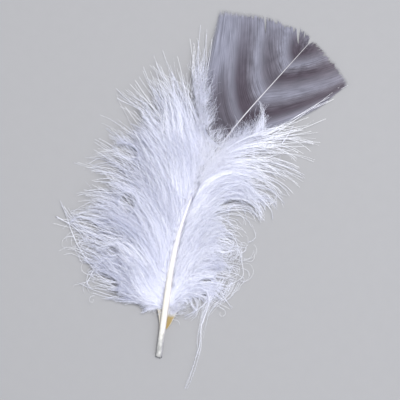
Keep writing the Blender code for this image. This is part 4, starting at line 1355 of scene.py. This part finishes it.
def vane_material(side):
    shading = Shading(f"vane_{SIDE_NAMES[side]}_barred")
    uv, across, part = shading.surface_map()
    streaks = shading.noise(uv, STREAKS)
    blotches = shading.noise(uv, BLOTCHES, BLOTCH_DETAIL)
    color = bar_color(shading, side, across, part, (streaks, blotches))
    fringe = shading.ramp(part, ((FRINGE_FROM, BLACK), (1.0, WHITE)))
    color = shading.mix("MIX", fringe, color, FRINGE_PALE)
    for noise, darkest in zip((streaks, blotches), NOISE_DARKEST):
        shades = zip(NOISE_ENDS, (grey(darkest), grey(NOISE_LIGHTEST)))
        color = shading.tint(color, noise, tuple(shades))
    roughness = shading.spread(blotches, *VANE_ROUGHNESS)
    return shading.soft(color, VANE_THROUGH, roughness, Normal=shading.bump(streaks))


# Colours along the shaft from the cut end to the tip, and round it from the right over the top to the left.
SHAFT_ALONG = ((0.0, (0.41, 0.41, 0.41)), (0.045, (0.46, 0.46, 0.455)), (0.065, (0.62, 0.61, 0.58)),
               (0.16, (0.66, 0.63, 0.56)), (0.25, (0.60, 0.59, 0.58)), (0.4, (0.56, 0.56, 0.61)),
               (0.52, (0.60, 0.60, 0.66)), (0.62, (0.50, 0.50, 0.54)), (1.0, (0.34, 0.33, 0.35)))
# The colours round it are painted light: shade on the right side and underneath, white over the top.
SHAFT_ROUND_PAINTED_LIGHT = ((0.0, (0.72, 0.70, 0.80)), (0.12, (0.86, 0.84, 0.90)), (0.24, (1.0, 0.99, 0.97)),
               (0.5, (1.0, 1.0, 1.0)), (1.0, (0.72, 0.70, 0.80)))
SHAFT_GRAIN = (14.0, 60.0, 1.0)
SHAFT_SHADES = ((0.3, (0.86, 0.86, 0.87)), (0.62, WHITE))
SHAFT_ROUGHNESS = (0.3, 0.6)
# Stains on the cut end: repeats round and along the shaft, and where they fade out along it.
STAIN_SHADES = ((0.38, (0.66, 0.67, 0.67)), (0.6, WHITE))
STAIN_GRAIN = (4.0, 60.0, 1.0)
STAIN_ENDS = (0.06, 0.09)


def shaft_material():
    shading = Shading("shaft_horn")
    uv, around, along = shading.surface_map()
    streaks = shading.noise(uv, SHAFT_GRAIN)
    # painted shade on the shaft's sides and painted light over its top
    color = shading.tint(shading.ramp(along, SHAFT_ALONG), around, SHAFT_ROUND_PAINTED_LIGHT)
    color = shading.tint(color, streaks, SHAFT_SHADES)
    stains = shading.noise(uv, STAIN_GRAIN)
    color = shading.tint(color, stains, STAIN_SHADES, shading.fade_out(along, *STAIN_ENDS))
    return shading.solid(color, shading.spread(streaks, *SHAFT_ROUGHNESS), shading.bump(streaks))


CREAM = (0.66, 0.63, 0.57)
# Colours of the sheath's right side from its foot up, and how far it has them, from left to right. The rest
# is cream.
SHEATH_ALONG = ((0.0, (0.40, 0.285, 0.115)), (0.44, (0.44, 0.335, 0.16)), (0.53, CREAM),
                (0.65, (0.70, 0.70, 0.76)))
SHEATH_ACROSS = ((0.5, BLACK), (0.58, WHITE), (0.94, WHITE), (0.99, grey(0.2)))
SHEATH_GRAIN = (22.0, 4.0, 1.0)
SHEATH_SHADES = ((0.3, grey(0.8)), (0.65, WHITE))
SHEATH_THROUGH = 0.3
SHEATH_ROUGHNESS = (0.2, 0.7)


def sheath_material():
    shading = Shading("sheath_tan")
    uv, across, along = shading.surface_map()
    color = shading.mix("MIX", shading.ramp(across, SHEATH_ACROSS), CREAM, shading.ramp(along, SHEATH_ALONG))
    grain = shading.noise(uv, SHEATH_GRAIN)
    color = shading.tint(color, grain, SHEATH_SHADES)
    roughness = shading.spread(grain, *SHEATH_ROUGHNESS)
    return shading.soft(color, SHEATH_THROUGH, roughness, Normal=shading.bump(grain))


FLOOR_PALE = (0.235, 0.235, 0.245)
FLOOR_GRAIN = (300.0, 300.0, 300.0)
FLOOR_DETAIL = 6.0
FLOOR_ROUGHNESS = (0.8, 1.0)
# distance and strength
FLOOR_BUMP = (0.02 * MM, 0.2)


def floor_material():
    shading = Shading("floor_pale")
    places = shading.node("ShaderNodeTexCoord", {}, "Object")
    grain = shading.noise(places, FLOOR_GRAIN, FLOOR_DETAIL)
    roughness = shading.spread(grain, *FLOOR_ROUGHNESS)
    return shading.solid(FLOOR_PALE, roughness, shading.bump(grain, *FLOOR_BUMP))


# ---------------- stage
FLOOR_SIZE = 4.0
# name, place as the photograph shows it, size, power, colour
LIGHTS = (("key", (0.1, 0.16, 0.78), 0.24, 8.4, (1.0, 0.99, 0.97)),
          ("fill", (0.24, -0.2, 0.62), 0.6, 2.9, (0.93, 0.96, 1.0)))
SKY_COLOR = (0.90, 0.93, 1.0, 1.0)
SKY_STRENGTH = 0.5
# Many bounces, because light gets deep into the down only by going from barb to barb.
BOUNCES = 16
BOUNCES_OF_A_KIND = 10


def build_floor():
    half = FLOOR_SIZE / 2
    corners = [(-half, -half, 0), (half, -half, 0), (half, half, 0), (-half, half, 0)]
    mesh = bpy.data.meshes.new("floor")
    mesh.from_pydata(corners, [], [(0, 1, 2, 3)])
    mesh.materials.append(floor_material())
    floor = add_object("floor", mesh)


def photo_vector(right, up, height):
    """A place given as the photograph shows it: to the right, up the picture and towards the camera."""
    cos, sin = math.cos(PHOTO_ROLL), math.sin(PHOTO_ROLL)
    return np.array((right * cos - up * sin, right * sin + up * cos, height))


def add_light(name, shown_at, size, power, color):
    """A round light that shines on the middle of the photograph."""
    data = bpy.data.lights.new(name, "AREA")
    data.shape = "DISK"
    data.size = size
    data.energy = power
    data.color = color
    light = add_object(name, data)
    light.location = photo_vector(*shown_at) + np.array((*PHOTO_CENTRE, 0.0))
    aim = add_object(name + "_aim", None)
    aim.location = (*PHOTO_CENTRE, 0.0)
    track = light.constraints.new("TRACK_TO")
    track.target = aim
    track.track_axis = "TRACK_NEGATIVE_Z"
    track.up_axis = "UP_Y"


def build_sky():
    world = bpy.data.worlds.new("studio")
    bpy.context.scene.world = world
    world.use_nodes = True
    sky = world.node_tree.nodes["Background"]
    sky.inputs["Color"].default_value = SKY_COLOR
    sky.inputs["Strength"].default_value = SKY_STRENGTH


def build_camera():
    """Straight above the feather, rolled so that it leans as in the photograph."""
    data = bpy.data.cameras.new("camera")
    data.lens = LENS
    data.sensor_width = SENSOR
    camera = add_object("camera", data)
    distance = PHOTO_WIDTH * LENS / SENSOR
    camera.location = (*PHOTO_CENTRE, PHOTO_LEVEL + distance)
    camera.rotation_euler = (0.0, 0.0, PHOTO_ROLL)
    bpy.context.scene.camera = camera


def build_stage():
    build_floor()
    for light in LIGHTS:
        add_light(*light)
    build_sky()
    build_camera()
    scene = bpy.context.scene
    scene.view_settings.view_transform = "Standard"
    scene.cycles.max_bounces = BOUNCES
    scene.cycles.diffuse_bounces = BOUNCES_OF_A_KIND
    scene.cycles.transmission_bounces = BOUNCES_OF_A_KIND


# ---------------- feather
def main():
    rng = np.random.default_rng(SEED)
    down = down_material()
    build_shaft(shaft_material())
    build_sheath(sheath_material())
    for side in (LEFT, RIGHT):
        build_vane(side, vane_material(side), rng)
    for side in (LEFT, RIGHT):
        for number in range(1, len(DOWN_LAYERS[side]) + 1):
            build_layer(side, number, down, rng)
        build_wisps(side, down, rng)
    build_stage()


main()
